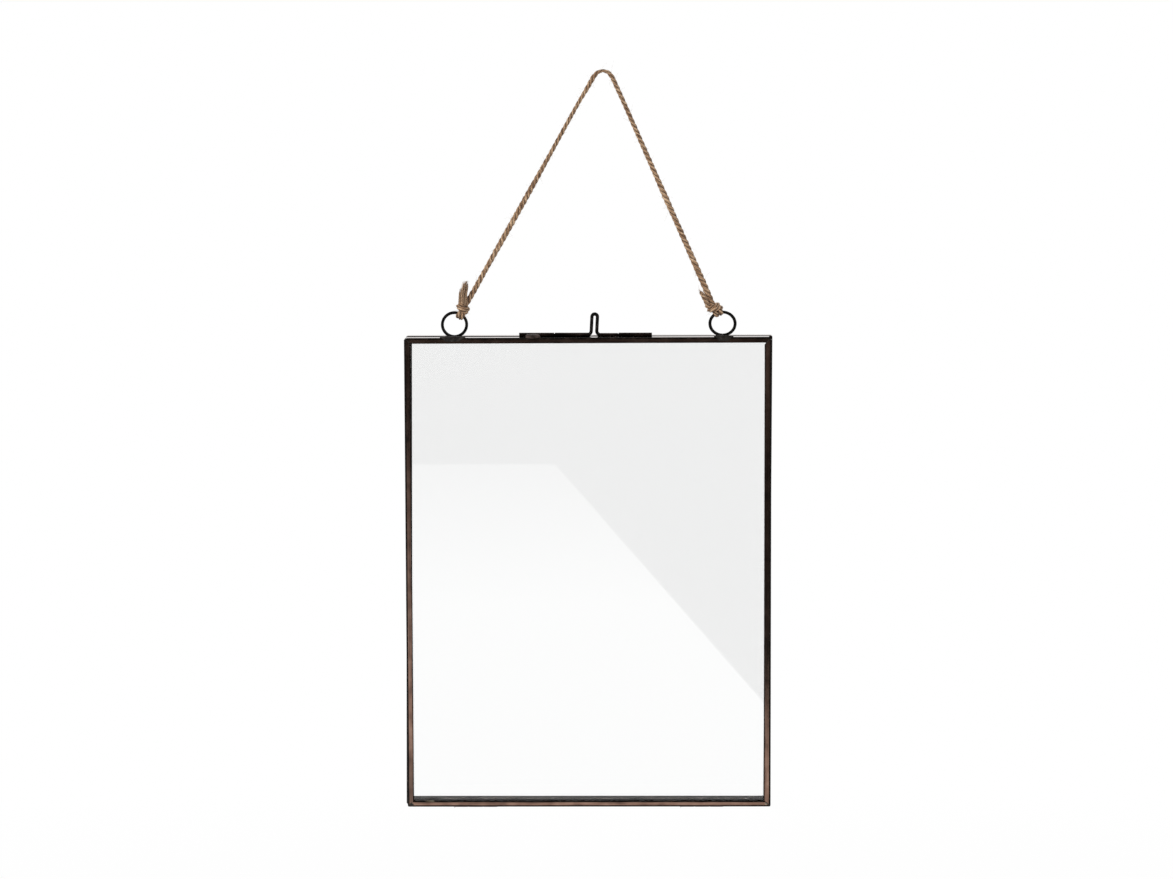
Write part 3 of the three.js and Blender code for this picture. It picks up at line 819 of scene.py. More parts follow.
# %% Hairs on the knots and at the cut
KNOT_HAIRS = 46
KNOT_MIDDLE = 1.6 * MM  # above the ring's wire
KNOT_RADIUS = 2.4 * MM
KNOT_HAIR_LENGTH = (0.8, 2.2)  # mm
TIP_HAIRS = 44
TIP_RADIUS = (0.1, 0.8)  # mm
TIP_HAIR_LIFT = 0.4
TIP_HAIR_LENGTH = (0.7, 1.5)  # mm
TIP_HAIR_WIDTH = (0.14, 0.3)  # mm

for grip, up in ((left_grip, left_up), (right_grip, right_up)):
    for _ in range(KNOT_HAIRS):
        away = any_way().normalized()
        root = grip + up * KNOT_MIDDLE + away * KNOT_RADIUS
        around = away.cross(up).normalized()
        length = chance.uniform(*KNOT_HAIR_LENGTH) * MM
        sweeps.append(hair(root, away, around, length, chance.uniform(*HAIR_WIDTH) * MM))
tip_heading = Vector(tail_path[-1] - tail_path[-4]).normalized()
for _ in range(TIP_HAIRS):
    away = any_way().normalized()
    root = Vector(tail_path[-3]) + away * chance.uniform(*TIP_RADIUS) * MM
    length = chance.uniform(*TIP_HAIR_LENGTH) * MM
    sweeps.append(hair(root, away * TIP_HAIR_LIFT, tip_heading, length, chance.uniform(*TIP_HAIR_WIDTH) * MM))
hairs = tube_mesh("cord_hairs", sweeps)
dress(hairs, "cord", "jute", jute)
print("hairs in all:", len(sweeps))

# %% [markdown]
# ## Metal finishes
# The rails are thin brass sheet, coppered and then darkened. A patina like that is never even: it is
# streaked along the length it was drawn and wiped in, with blotches where the metal shows warmer. One
# function makes the finish, and takes the direction of the streaks and three colours. On the two upright
# rails, painted light and shade also make the colour lighter or darker with the height. The wire, the
# tubes and the solder are the same finish taken much darker and, for the solder, duller.

# %% Rail colours and painted shading
RAIL_DARK = (0.11, 0.059, 0.041)
RAIL_MIDDLE = (0.248, 0.138, 0.097)
RAIL_LIGHT = (0.385, 0.238, 0.177)
# Painted light and shade on the upright rails: shares of the rail's height from its foot, and how light or
# dark it is painted there
LEFT_PAINTED_SHADING = [(0.05, 0.5), (0.15, 1.0), (0.25, 1.05), (0.4, 0.6), (0.65, 0.58), (0.8, 0.7)]
RIGHT_PAINTED_SHADING = [(0.1, 1.0), (0.2, 0.68), (0.4, 0.58), (0.7, 0.6), (0.82, 1.1), (0.95, 1.7)]
SHADING_FOOT, SHADING_HEAD = [corner.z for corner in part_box("front_left_rail")]


def paint_shading(tree, colour, painted_shading):
    """Paints light and shade into a colour: darker or lighter by its height on the frame."""
    height = add(tree, "SeparateXYZ", {"Vector": object_pattern(tree, (1, 1, 1))}).outputs["Z"]
    reach = {"From Min": SHADING_FOOT, "From Max": SHADING_HEAD}
    share = add(tree, "MapRange", {"Value": height, **reach}).outputs["Result"]
    shades = ramp(tree, share, painted_shading)
    return add(tree, "VectorMath", {0: colour, 1: shades}, operation="MULTIPLY").outputs["Vector"]


print("rails stand from", round(SHADING_FOOT / MM, 1), "to", round(SHADING_HEAD / MM, 1), "mm")

# %% Patina material
LACQUER_ROUGHNESS = 0.12
DULL_SPECULAR = 0.06  # of the finishes that show no bare metal
METAL_SPECULAR = 0.5
BLOTCH_FINENESS = 160.0
BLOTCH_SHARE = 0.42
SPECK_FINENESS = 900.0
SPECK_SHARE = 0.5
PATINA_STOPS = (0.37, 0.5, 0.64)
SHEEN_STOPS = {"From Min": 0.35, "From Max": 0.65}


def patina(name, streak_scale, dark, middle, light, gloss, dull, bump_height,
           metal=1.0, lacquer=0.0, painted_shading=None):
    finish, tree, shader = new_finish(name, Metallic=metal, Coat_Weight=lacquer,
                                      Coat_Roughness=LACQUER_ROUGHNESS,
                                      Specular_IOR_Level=METAL_SPECULAR if metal else DULL_SPECULAR)
    streaks = cloudy(tree, object_pattern(tree, streak_scale), 1.0, detail=5, roughness=0.6)
    blotches = cloudy(tree, object_pattern(tree, (1, 1, 1)), BLOTCH_FINENESS, detail=3)
    parts = {"Factor": BLOTCH_SHARE, "A": streaks, "B": blotches}
    mixed = add(tree, "Mix", parts, data_type="FLOAT").outputs["Result"]
    colour = ramp(tree, mixed, list(zip(PATINA_STOPS, (dark, middle, light))))
    # painted light and shade by height, on the upright rails only
    if painted_shading:
        colour = paint_shading(tree, colour, painted_shading)
    tree.links.new(colour, shader.inputs["Base Color"])
    specks = cloudy(tree, object_pattern(tree, (1, 1, 1)), SPECK_FINENESS, detail=3)
    parts = {"Factor": SPECK_SHARE, "A": mixed, "B": specks}
    both = add(tree, "Mix", parts, data_type="FLOAT").outputs["Result"]
    sheen = add(tree, "MapRange", {"Value": both, **SHEEN_STOPS, "To Min": gloss, "To Max": dull})
    tree.links.new(sheen.outputs["Result"], shader.inputs["Roughness"])
    bump = add(tree, "Bump", {"Height": specks, "Strength": 0.5, "Distance": bump_height})
    tree.links.new(bump.outputs["Normal"], shader.inputs["Normal"])
    return finish


print("patina ready")

# %% All metal finishes
rail_look = {"dark": RAIL_DARK, "middle": RAIL_MIDDLE, "light": RAIL_LIGHT, "gloss": 0.03, "dull": 0.1,
             "bump_height": 0.002 * MM, "lacquer": 0.5}
rail_level = patina("rail_patina_level", (60, 1400, 1400), **rail_look)
# the upright rails also carry painted light and shade by their height
rail_left = patina("rail_patina_left", (1400, 1400, 60), **rail_look, painted_shading=LEFT_PAINTED_SHADING)
rail_right = patina("rail_patina_right", (1400, 1400, 60), **rail_look, painted_shading=RIGHT_PAINTED_SHADING)
# the roundings of the rails: near black and not metal, a painted dark reflection
rail_edge_painted_dark = patina("edges_painted_dark", (700, 700, 700), (0.002, 0.0015, 0.001), (0.006, 0.004, 0.003),
                   (0.022, 0.014, 0.011), 0.4, 0.55, 0.006 * MM, metal=0.0)
# the side to the seam: a dull finish, lightened with painted light that the panes keep from it
rail_inside_painted_light = patina("dull_inside_painted_light", (90, 700, 700), (0.09, 0.075, 0.066), (0.225, 0.19, 0.167),
                     (0.335, 0.29, 0.262), 0.5, 0.65, 0.004 * MM, metal=0.0)
tube_metal = patina("tube_patina", (150, 900, 900), (0.02, 0.015, 0.013), (0.05, 0.034, 0.029),
                    (0.13, 0.09, 0.075), 0.16, 0.34, 0.01 * MM)
black_wire = patina("blackened_wire", (500, 500, 500), (0.002, 0.002, 0.002), (0.005, 0.0045, 0.004),
                    (0.018, 0.015, 0.013), 0.4, 0.6, 0.008 * MM, metal=0.0)
dark_solder = patina("tarnished_solder", (420, 420, 420), (0.007, 0.006, 0.005), (0.021, 0.018, 0.016),
                     (0.06, 0.052, 0.046), 0.4, 0.6, 0.02 * MM, metal=0.0)
brown_solder = patina("browned_solder", (420, 420, 420), (0.02, 0.014, 0.012), (0.055, 0.039, 0.034),
                      (0.12, 0.088, 0.078), 0.45, 0.65, 0.02 * MM, metal=0.0)
# pale bright solder: partly solder, partly a painted glint
bright_solder = patina("bright_solder", (420, 420, 420), (0.12, 0.1, 0.07), (0.3, 0.26, 0.19),
                       (0.5, 0.45, 0.36), 0.25, 0.45, 0.02 * MM)
hinge_metal = patina("hinge_patina", (150, 900, 900), (0.06, 0.04, 0.033), (0.15, 0.095, 0.075),
                     (0.26, 0.17, 0.14), 0.12, 0.28, 0.01 * MM)
print("finishes so far:", len(bpy.data.materials))

# %% [markdown]
# ## The rails
# Each leaf has four rails of folded channel that hold the pane in a groove, mitred and soldered at the
# corners. A rail starts as a box. Two cuts mark out the groove, the strip between them is pushed in, and
# the long edges are rounded. On three rails the lip is folded a little wider. Long edges are divided, so
# that a slight unevenness, as in hand-folded sheet, can move the surface.

# %% Tools for the rails
PARALLEL = 0.999
SHARP_FOLD = 1.2  # radians, nearly a right angle


def box_piece(name, low, high):
    clear_selection()
    bpy.ops.mesh.primitive_cube_add(size=1, location=(low + high) / 2)
    bpy.context.object.scale = high - low
    return settle(name)


def uneven(piece, size, height):
    """Moves the surface in and out by a soft cloud pattern."""
    clouds = bpy.data.textures.new(piece.name + "_unevenness", "CLOUDS")
    clouds.noise_scale = size
    clouds.noise_depth = 2
    move = piece.modifiers.new("uneven", "DISPLACE")
    move.texture = clouds
    move.texture_coords = "LOCAL"
    move.strength = height
    apply_modifiers(piece)


def cut_away(point, outwards):
    """Saws off, in edit mode, all that lies beyond a plane, and closes the cut."""
    bpy.ops.mesh.select_all(action="SELECT")
    bpy.ops.mesh.bisect(plane_co=point, plane_no=outwards, use_fill=True, clear_outer=True)


def along(edge, direction):
    span = edge.verts[1].co - edge.verts[0].co
    return abs(span.normalized().dot(direction)) > PARALLEL


def edge_middle(edge):
    return (edge.verts[0].co + edge.verts[1].co) / 2


def sharp(edge):
    return edge.is_manifold and edge.calc_face_angle() > SHARP_FOLD


print("rail tools ready")

# %% Make a rail
GROOVE_ROOM = 0.08 * MM  # beside the pane
GROOVE_DEPTH = 1.6 * MM
FACE_EDGE_RADIUS = 0.75 * MM
LIP_RADIUS = 0.42 * MM
SEAM_EDGE_RADIUS = 1.25 * MM
WIDER_LIPS = {("back", "bottom"): 0.75 * MM, ("front", "left"): 0.3 * MM, ("front", "right"): 0.55 * MM}
LIP_ZONE = 2.3 * MM  # edges farther in than this from the outside belong to the lips
SAW_SPARE = 2 * MM  # at each end, for the saw
RAIL_STEPS = 90
RAIL_WAVE = 14 * MM
RAIL_WAVE_HEIGHT = 0.03 * MM
SAME_PLACE = 0.001 * MM


def run_of(inward):
    """The way a rail runs, from the way to the middle of its leaf."""
    return Z if abs(inward.x) > 0.5 else X


def make_rail(name, leaf, side, inward):
    low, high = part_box(f"{leaf}_{side}_rail")
    glass_low, glass_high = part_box(f"{leaf}_glass")
    direction = run_of(inward)
    seam_y = max(low.y, high.y) if leaf == "front" else min(low.y, high.y)
    outer = max(low.dot(-inward), high.dot(-inward))
    walls = (glass_low.y - GROOVE_ROOM, glass_high.y + GROOVE_ROOM)

    def between(face):
        return walls[0] < face.calc_center_median().y < walls[1]

    def at_face(face):
        return not between(face) and abs(face.calc_center_median().y) > abs(walls[0] + walls[1]) / 2

    def at_outside(edge):
        return abs(edge_middle(edge).dot(-inward) - outer) < SAME_PLACE and along(edge, direction)

    def at_seam(edge):
        return abs(edge_middle(edge).y - seam_y) < SAME_PLACE

    def at_walls(edge):
        return walls[0] - SAME_PLACE < edge_middle(edge).y < walls[1] + SAME_PLACE

    spare = direction * SAW_SPARE
    rail = box_piece(name, low - spare, high + spare)
    edit_mode()
    for wall in walls:
        bpy.ops.mesh.select_all(action="SELECT")
        bpy.ops.mesh.bisect(plane_co=(0, wall, 0), plane_no=Y)
    pick("FACE", lambda face: looks(face, inward) and between(face))
    bpy.ops.mesh.extrude_region_move(TRANSFORM_OT_translate={"value": -inward * GROOVE_DEPTH})
    if (leaf, side) in WIDER_LIPS:
        pick("FACE", lambda face: looks(face, inward) and at_face(face))
        bpy.ops.transform.translate(value=inward * WIDER_LIPS[leaf, side])
    pick("EDGE", lambda edge: at_outside(edge) and at_seam(edge))
    bpy.ops.mesh.bevel(offset=SEAM_EDGE_RADIUS, segments=6, affect="EDGES")
    pick("EDGE", lambda edge: at_outside(edge) and not at_seam(edge) and not at_walls(edge) and sharp(edge))
    bpy.ops.mesh.bevel(offset=FACE_EDGE_RADIUS, segments=4, affect="EDGES")
    pick("EDGE", lambda edge: along(edge, direction) and edge_middle(edge).dot(inward) > LIP_ZONE - outer)
    bpy.ops.mesh.bevel(offset=LIP_RADIUS, segments=2, affect="EDGES")
    pick("EDGE", lambda edge: along(edge, direction))
    bpy.ops.mesh.subdivide(number_cuts=RAIL_STEPS)
    object_mode()
    uneven(rail, RAIL_WAVE, RAIL_WAVE_HEIGHT)
    return rail


print("rail maker ready:", RAIL_STEPS, "cuts along each rail")

# %% [markdown]
# ### Sawing and filing
# The ends are sawn at 45 degrees with a hair's breadth left for solder, and the corners of the leaf are
# filed off, some more than others. The corners could be one bevel on a joined frame, but then the rails
# would no longer be separate pieces. Weighted normals keep the wide faces mirror flat beside their
# roundings.

# %% Saw the mitres
MITRE_ROOM = 0.03 * MM
PLAIN_CORNER = 0.4 * MM  # how much of a corner is filed off
WORN_CORNERS = {("front", "top", "right"): 0.75 * MM, ("front", "top", "left"): 0.65 * MM,
                ("front", "bottom", "left"): 0.55 * MM}
RAIL_SMOOTHING = math.radians(35)
FLATNESS = 100  # the wide faces alone decide how they reflect, not the narrow roundings beside them
SAME_AREA = 0.1 * MM * MM


def mitre(rail, leaf, side, inward, leaf_low, leaf_high):
    """Saws both ends at 45 degrees, towards the corners of the leaf, and files the corners off."""
    direction = run_of(inward)
    edit_mode()
    for end in (-1, 1):
        way = direction * end
        corner = Vector([leaf_low[i] if (way - inward)[i] < 0 else leaf_high[i] for i in range(3)])
        slant = (way + inward).normalized()
        cut_away(corner - slant * MITRE_ROOM, slant)
        upright = side if direction is X else ("top" if end > 0 else "bottom")
        across = side if direction is Z else ("right" if end > 0 else "left")
        blunt = (way - inward).normalized()
        cut_away(corner - blunt * WORN_CORNERS.get((leaf, upright, across), PLAIN_CORNER), blunt)
    faces_outwards()
    bpy.ops.object.shade_smooth_by_angle(angle=RAIL_SMOOTHING)
    flat = rail.modifiers.new("flat faces", "WEIGHTED_NORMAL")
    flat.keep_sharp = True
    flat.weight = FLATNESS
    flat.thresh = SAME_AREA
    apply_modifiers(rail)


print("corners filed more than others:", len(WORN_CORNERS))

# %% [markdown]
# ### A little out of true
# The frame was put together by hand, and it shows: the top rails rise a little to the right, the front left
# rail leans out at its top, and the back leaf is pushed out of square behind the front one. A turn does for a
# top rail. The others are slid sideways by their height, because a turned leaf would no longer lie along its
# hinges.

# %% Tilt and rack
TOP_LEAN = {"front": math.radians(0.13), "back": math.radians(0.06)}
TOP_LIFT = {"front": 0.03 * MM, "back": 0.15 * MM}
LEFT_LEAN = math.radians(-0.12)  # of the front leaf's left rail, to the left at its top
BACK_LEAN = math.radians(0.28)  # of the whole back leaf, to the right at its top


def tilt_top(rail, leaf):
    """Turns a top rail a little, as seen from the front, and lifts it."""
    middle = box_middle(f"{leaf}_top_rail")
    take(rail)
    bpy.ops.transform.rotate(value=TOP_LEAN[leaf], orient_axis="Y", center_override=middle)
    bpy.ops.transform.translate(value=(0, 0, TOP_LIFT[leaf]))
    settle(rail.name)


def rack(piece, lean):
    """Pushes a piece out of square: to the right above the middle of the leaf, and to the left below it."""
    slide = Matrix.Identity(4)
    slide[0][2] = math.tan(lean)
    slide[0][3] = -math.tan(lean) * box_middle("back_glass").z
    piece.data.transform(slide)


print("back leaf out of square by", round(math.degrees(BACK_LEAN), 2), "degrees")

# %% All eight rails
SQUARE_ON = 0.99  # a face that looks straight at the seam or away from it
EDGE_TURN = 0.1  # how far a face of an edge's rounding turns to the front or the back
OUTER_TURN = 0.6  # how far the outer faces and filed corners look outwards, at least
EDGE_INDEX, INSIDE_INDEX = 1, 2


def finish_faces(rail, leaf, inward):
    """Keeps the patina on outer faces and filed corners; the roundings get a painted dark reflection, and the
    side to the seam is dull, lightened with painted light.
    """
    rail.data.materials.append(rail_edge_painted_dark)
    rail.data.materials.append(rail_inside_painted_light)
    to_seam = Y if leaf == "front" else -Y
    for face in rail.data.polygons:
        seamward = face.normal.dot(to_seam)
        if seamward > SQUARE_ON:
            face.material_index = INSIDE_INDEX
        elif seamward > -SQUARE_ON:
            if abs(face.normal.y) > EDGE_TURN or face.normal.dot(-inward) < OUTER_TURN:
                face.material_index = EDGE_INDEX


RAIL_SIDES = {"top": -Z, "bottom": Z, "left": X, "right": -X}
RAIL_FINISH = {"top": rail_level, "bottom": rail_level, "left": rail_left, "right": rail_right}
for leaf in ("front", "back"):
    boxes = [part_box(f"{leaf}_{side}_rail") for side in RAIL_SIDES]
    leaf_low = Vector([min(box[0][i] for box in boxes) for i in range(3)])
    leaf_high = Vector([max(box[1][i] for box in boxes) for i in range(3)])
    for side, inward in RAIL_SIDES.items():
        rail = make_rail(f"rail_{leaf}_{side}", leaf, side, inward)
        mitre(rail, leaf, side, inward, leaf_low, leaf_high)
        if side == "top":
            tilt_top(rail, leaf)
        if leaf == "back":
            rack(rail, BACK_LEAN)
        elif side == "left":
            rack(rail, LEFT_LEAN)
        dress(rail, f"{leaf}_leaf", "rail_metal", RAIL_FINISH[side], f"{leaf}_{side}_rail")
        finish_faces(rail, leaf, inward)
        print(rail.name, "has", len(rail.data.polygons), "faces")

# %% [markdown]
# ## The panes
# Each pane is 3 mm float glass. Its edges sit in the grooves, so all that shows is the clear sheet and,
# through it, the dark inside of the channel. Real panes have their sharp edges taken off with a stone,
# which is a small bevel here. The glass itself is the standard shader with full transmission.

# %% Two panes
ARRIS = 0.25 * MM

clear_glass, _, _ = new_finish("clear_glass", Base_Color=(0.995, 0.997, 0.996, 1), Roughness=0.0, IOR=1.5,
                               Transmission_Weight=1.0)
for leaf in ("front", "back"):
    pane = box_piece(f"pane_{leaf}", *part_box(f"{leaf}_glass"))
    edit_mode()
    bpy.ops.mesh.bevel(offset=ARRIS, segments=1, affect="EDGES")
    object_mode()
    if leaf == "back":
        rack(pane, BACK_LEAN)
    dress(pane, f"{leaf}_leaf", "glass", clear_glass, f"{leaf}_glass")
    print(pane.name, [round(side / MM, 1) for side in pane.dimensions])

# %% [markdown]
# ## Latch tubes and hinge knuckles
# The latch is four short tubes in a row along the top seam: the outer two are soldered to the front leaf
# and the inner two to the back leaf. The hinges along the bottom are tubes as well. A tube starts as a
# cylinder. Both ends are inset, the two inner discs are bridged into a bore, and the rims are broken.

# %% Make a tube
TUBE_SIDES = 28
TUBE_STEPS = 14
TUBE_WAVE = 3 * MM
TUBE_WAVE_HEIGHT = 0.04 * MM
TUBE_BORE = 1.2 * MM
KNUCKLE_BORE = 1.1 * MM
RIM_BREAK = 0.07 * MM
RIM_FOLD = math.radians(50)  # folds sharper than this are rims
LONG_EDGE = 2 * MM
ROUND_SMOOTHING = math.radians(40)


def make_tube(name, node, bore):
    low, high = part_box(node)
    radius = (high.y - low.y) / 2
    clear_selection()
    bpy.ops.mesh.primitive_cylinder_add(vertices=TUBE_SIDES, radius=radius, depth=high.x - low.x,
                                        location=(low + high) / 2, rotation=(0, math.pi / 2, 0))
    tube = settle(name)
    edit_mode()
    pick("FACE", lambda face: looks(face, X) or looks(face, -X))
    bpy.ops.mesh.inset(thickness=radius - bore / 2)
    bpy.ops.mesh.bridge_edge_loops()
    bpy.ops.mesh.select_all(action="DESELECT")
    bpy.ops.mesh.edges_select_sharp(sharpness=RIM_FOLD)
    bpy.ops.mesh.bevel(offset=RIM_BREAK, segments=2, affect="EDGES")
    pick("EDGE", lambda edge: along(edge, X) and edge.calc_length() > LONG_EDGE)
    bpy.ops.mesh.subdivide(number_cuts=TUBE_STEPS)
    faces_outwards()
    uneven(tube, TUBE_WAVE, TUBE_WAVE_HEIGHT)
    bpy.ops.object.shade_smooth_by_angle(angle=ROUND_SMOOTHING)
    return tube


LATCH_TUBES = {"left_outer": "front_leaf", "left_inner": "back_leaf", "right_inner": "back_leaf",
               "right_outer": "front_leaf"}
for place, body in LATCH_TUBES.items():
    tube = make_tube(f"tube_{place}", f"latch_tube_{place}", TUBE_BORE)
    dress(tube, body, "latch_metal", tube_metal, f"latch_tube_{place}")
    print(tube.name, round(tube.dimensions.x / MM, 1), "mm long")

# %% [markdown]
# ### Hinges
# Each bottom hinge has three knuckles, the middle one on the front leaf and the outer two on the back leaf,
# and a pin whose ends are peened over so that it can't slide out. A peened end is a disc drawn wider and
# then outwards. One hinge is modelled, and the other is a copy with meshes of its own.

# %% Make a hinge pin
PIN_RADIUS = 0.45 * MM
PIN_HEAD = 0.4 * MM
HEAD_TAPER = 0.72
HEAD_FOLD = math.radians(25)
HEAD_BREAK = 0.06 * MM


def make_hinge_pin(name, node):
    low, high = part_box(node)
    clear_selection()
    shank = high.x - low.x - 2 * PIN_HEAD
    bpy.ops.mesh.primitive_cylinder_add(vertices=TUBE_SIDES, radius=PIN_RADIUS, depth=shank,
                                        location=(low + high) / 2, rotation=(0, math.pi / 2, 0))
    pin = settle(name)
    wider = (high.y - low.y) / 2 / PIN_RADIUS
    edit_mode()
    for end in (-1, 1):
        pick("FACE", lambda face: looks(face, X * end))
        bpy.ops.mesh.extrude_region_move()
        bpy.ops.transform.resize(value=(1, wider, wider))
        bpy.ops.mesh.extrude_region_move(TRANSFORM_OT_translate={"value": (end * PIN_HEAD, 0, 0)})
        bpy.ops.transform.resize(value=(1, HEAD_TAPER, HEAD_TAPER))
    bpy.ops.mesh.select_all(action="DESELECT")
    bpy.ops.mesh.edges_select_sharp(sharpness=HEAD_FOLD)
    bpy.ops.mesh.bevel(offset=HEAD_BREAK, segments=2, affect="EDGES")
    faces_outwards()
    bpy.ops.object.shade_smooth_by_angle(angle=ROUND_SMOOTHING)
    return pin


print("hinge pin maker ready")

# %% The left hinge
HINGE_PIECES = {"back_knuckle_left": "back_leaf", "front_knuckle": "front_leaf",
                "back_knuckle_right": "back_leaf"}
left_hinge = {}
for piece_name, body in HINGE_PIECES.items():
    node = f"left_hinge_{piece_name}"
    left_hinge[piece_name] = make_tube(f"barrel_left_{piece_name}", node, KNUCKLE_BORE)
    dress(left_hinge[piece_name], body, "hinge_metal", hinge_metal, node)
left_hinge["pin"] = make_hinge_pin("peened_pin_left", "left_hinge_pin")
dress(left_hinge["pin"], "front_leaf", "hinge_metal", hinge_metal, "left_hinge_pin")
print("left hinge:", ", ".join(left_hinge))

# %% The right hinge is a copy
shift = box_middle("right_hinge_front_knuckle") - box_middle("left_hinge_front_knuckle")
for piece_name, original in left_hinge.items():
    copy = original.copy()
    copy.data = original.data.copy()
    copy.parent = None
    copy.name = original.name.replace("left", "right", 1)
    copy.data.name = copy.name
    bpy.context.scene.collection.objects.link(copy)
    take(copy)
    copy.location = shift
    settle(copy.name)
    body = HINGE_PIECES.get(piece_name, "front_leaf")
    dress(copy, body, "hinge_metal", hinge_metal, f"right_hinge_{piece_name}")
    print(copy.name)

# %% [markdown]
# ## Rings and spring pin
# Both are bent from round wire. A filled circle is the end of the wire. Extruding it draws a straight
# length, and spinning it about a centre makes a bend, as on a bending jig. The ring is one long spin that
# stops just short of a full turn, where its two ends meet in the solder.
#
# The spring pin is a hairpin: two legs in the tubes, and a loop that is squeezed to draw the legs in. It is
# made as two halves, each bent from the end of its own leg up to the top of the loop.

# %% Bending wire
WIRE_SIDES = 14
RING_STEPS = 72
RING_TURN = math.radians(359.4)
# How far each ring settled into its solder, and how it was pressed out of round
RING_SETTLE = {"left": Vector((0.2, 0, -0.35)) * MM, "right": Vector((0.2, 0, -0.05)) * MM}
RING_PRESS = {"left": (1, 1, 1), "right": (0.96, 1.037, 1)}
WIRE_WAVE = 2 * MM
WIRE_WAVE_HEIGHT = 0.03 * MM
WIRE_SMOOTHING = math.radians(50)


def finish_wire(name):
    bpy.ops.mesh.select_all(action="SELECT")
    bpy.ops.mesh.remove_doubles(threshold=SAME_PLACE)
    faces_outwards()
    wire = settle(name)
    uneven(wire, WIRE_WAVE, WIRE_WAVE_HEIGHT)
    bpy.ops.object.shade_smooth_by_angle(angle=WIRE_SMOOTHING)
    return wire


def make_ring(name, side):
    clear_selection()
    bpy.ops.mesh.primitive_circle_add(vertices=WIRE_SIDES, radius=RING_WIRE / 2, fill_type="NGON",
                                      location=(RING_RADIUS, 0, 0), rotation=(math.pi / 2, 0, 0))
    settle(name)
    edit_mode()
    bpy.ops.mesh.spin(steps=RING_STEPS, angle=RING_TURN, center=(0, 0, 0), axis=(0, 0, 1))
    object_mode()
    gap = (2 * math.pi - RING_TURN) / 2
    ring = bpy.context.object
    stand = Matrix.Rotation(math.pi / 2 - ring_lean, 4, "X") @ Matrix.Rotation(-math.pi / 2 - gap, 4, "Z")
    stand = stand @ Matrix.Diagonal((*RING_PRESS[side], 1))
    ring.matrix_world = Matrix.Translation(box_middle(f"{side}_ring") + RING_SETTLE[side]) @ stand
    bpy.ops.object.mode_set(mode="EDIT")
    return finish_wire(name)


for side in ("left", "right"):
    ring = make_ring(f"wire_ring_{side}", side)
    dress(ring, "front_leaf", "ring_wire", black_wire, f"{side}_ring")
    print(ring.name, [round(length / MM, 2) for length in ring.dimensions])

# %% The hairpin
PIN_WIRE = 1.08 * MM
LOOP_SWELL = 1.34  # the loop is a third thicker than the legs, under its blacking
LOOP_RISE = 0.35 * MM  # how far it is pulled up
PIN_LEAN = 0.3 * MM  # how far the top of the loop leans to the right
PIN_SHIFT = -0.3 * MM  # how far the loop was pushed to the left
BEND_RADIUS = 1.7 * MM
BEND_STEPS = 8
RISE_STEPS = 6


def draw_out(travel):
    bpy.ops.mesh.extrude_region_move(TRANSFORM_OT_translate={"value": travel})


def make_hairpin_half(name, leg, side):
    """Bends one half; side is 1 for the left half, drawn to the right, and -1 for the right half."""
    leg_low, leg_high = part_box(leg)
    bow_low, bow_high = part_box("spring_pin_bow")
    level = box_middle("latch_tube_left_inner").z
    tip = leg_low.x if side > 0 else leg_high.x
    upright = PIN_SHIFT + (bow_low.x + PIN_WIRE / 2 if side > 0 else bow_high.x - PIN_WIRE / 2)
    middle = PIN_SHIFT + (bow_low.x + bow_high.x) / 2
    crown = bow_high.z - PIN_WIRE / 2 + LOOP_RISE
    bow_radius = abs(middle - upright)
    clear_selection()
    bpy.ops.mesh.primitive_circle_add(vertices=WIRE_SIDES, radius=PIN_WIRE / 2, fill_type="NGON",
                                      location=(tip, 0, level), rotation=(0, math.pi / 2, 0))
    settle(name)
    edit_mode()
    draw_out((upright - side * BEND_RADIUS - tip, 0, 0))
    bpy.ops.transform.resize(value=(1, LOOP_SWELL, LOOP_SWELL))
    bpy.ops.mesh.spin(steps=BEND_STEPS, angle=math.pi / 2, axis=(0, side, 0),
                      center=(upright - side * BEND_RADIUS, 0, level + BEND_RADIUS))
    rise = crown - bow_radius - level - BEND_RADIUS
    for _ in range(RISE_STEPS):
        draw_out((PIN_LEAN / RISE_STEPS, 0, rise / RISE_STEPS))
    bpy.ops.mesh.spin(steps=BEND_STEPS, angle=math.pi / 2, axis=(0, -side, 0),
                      center=(middle + PIN_LEAN, 0, crown - bow_radius))
    half = finish_wire(name)
    return half, level + BEND_RADIUS, crown - bow_radius


for side, way in (("left", 1), ("right", -1)):
    half, low_z, high_z = make_hairpin_half(f"hairpin_{side}_half", f"spring_pin_{side}_leg", way)
    half.data.materials.append(black_wire)
    nodes = [f"spring_pin_{side}_leg"] + (["spring_pin_bow"] if side == "left" else [])
    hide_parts(*nodes)
    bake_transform(half)
    print(half.name, [round(length / MM, 2) for length in half.dimensions])

# %% [markdown]
# ## Solder
# Solder holds everything together, and it was laid on by hand. Each ring stands in a dark pad that runs
# over the front edge of the rail. There is a blob on the left outer tube, a fine bead in the gap under the
# hairpin, thin seams at the mitred corners, and a fillet along each hinge knuckle. A pad starts as a box
# with its front lip drawn down over the edge, and the rest start as spheres pressed to size. All are then
# made uneven.

# %% Ring pads
PAD_PROUD = 0.22 * MM
PAD_SINK = 0.3 * MM  # into the rail
PAD_LIP = 1.4 * MM
PAD_LIP_BACK = 0.5 * MM  # how far behind the front of the rail the lip begins
PAD_BACK = -0.9 * MM
PAD_PARTS = 5  # along the pad
PAD_SOFTNESS = 4
PEAK_HALF_WIDTH = 0.9 * MM
PEAK_LEAN = (0.2 * MM, 0.3 * MM)
PEAK_TAPER = (0.7, 0.35, 1)
END_TAPER = (1, 0.6, 0.3)
PAD_WAVES = ((1.6 * MM, 0.42 * MM), (0.5 * MM, 0.1 * MM))  # size and height, first coarse and then fine


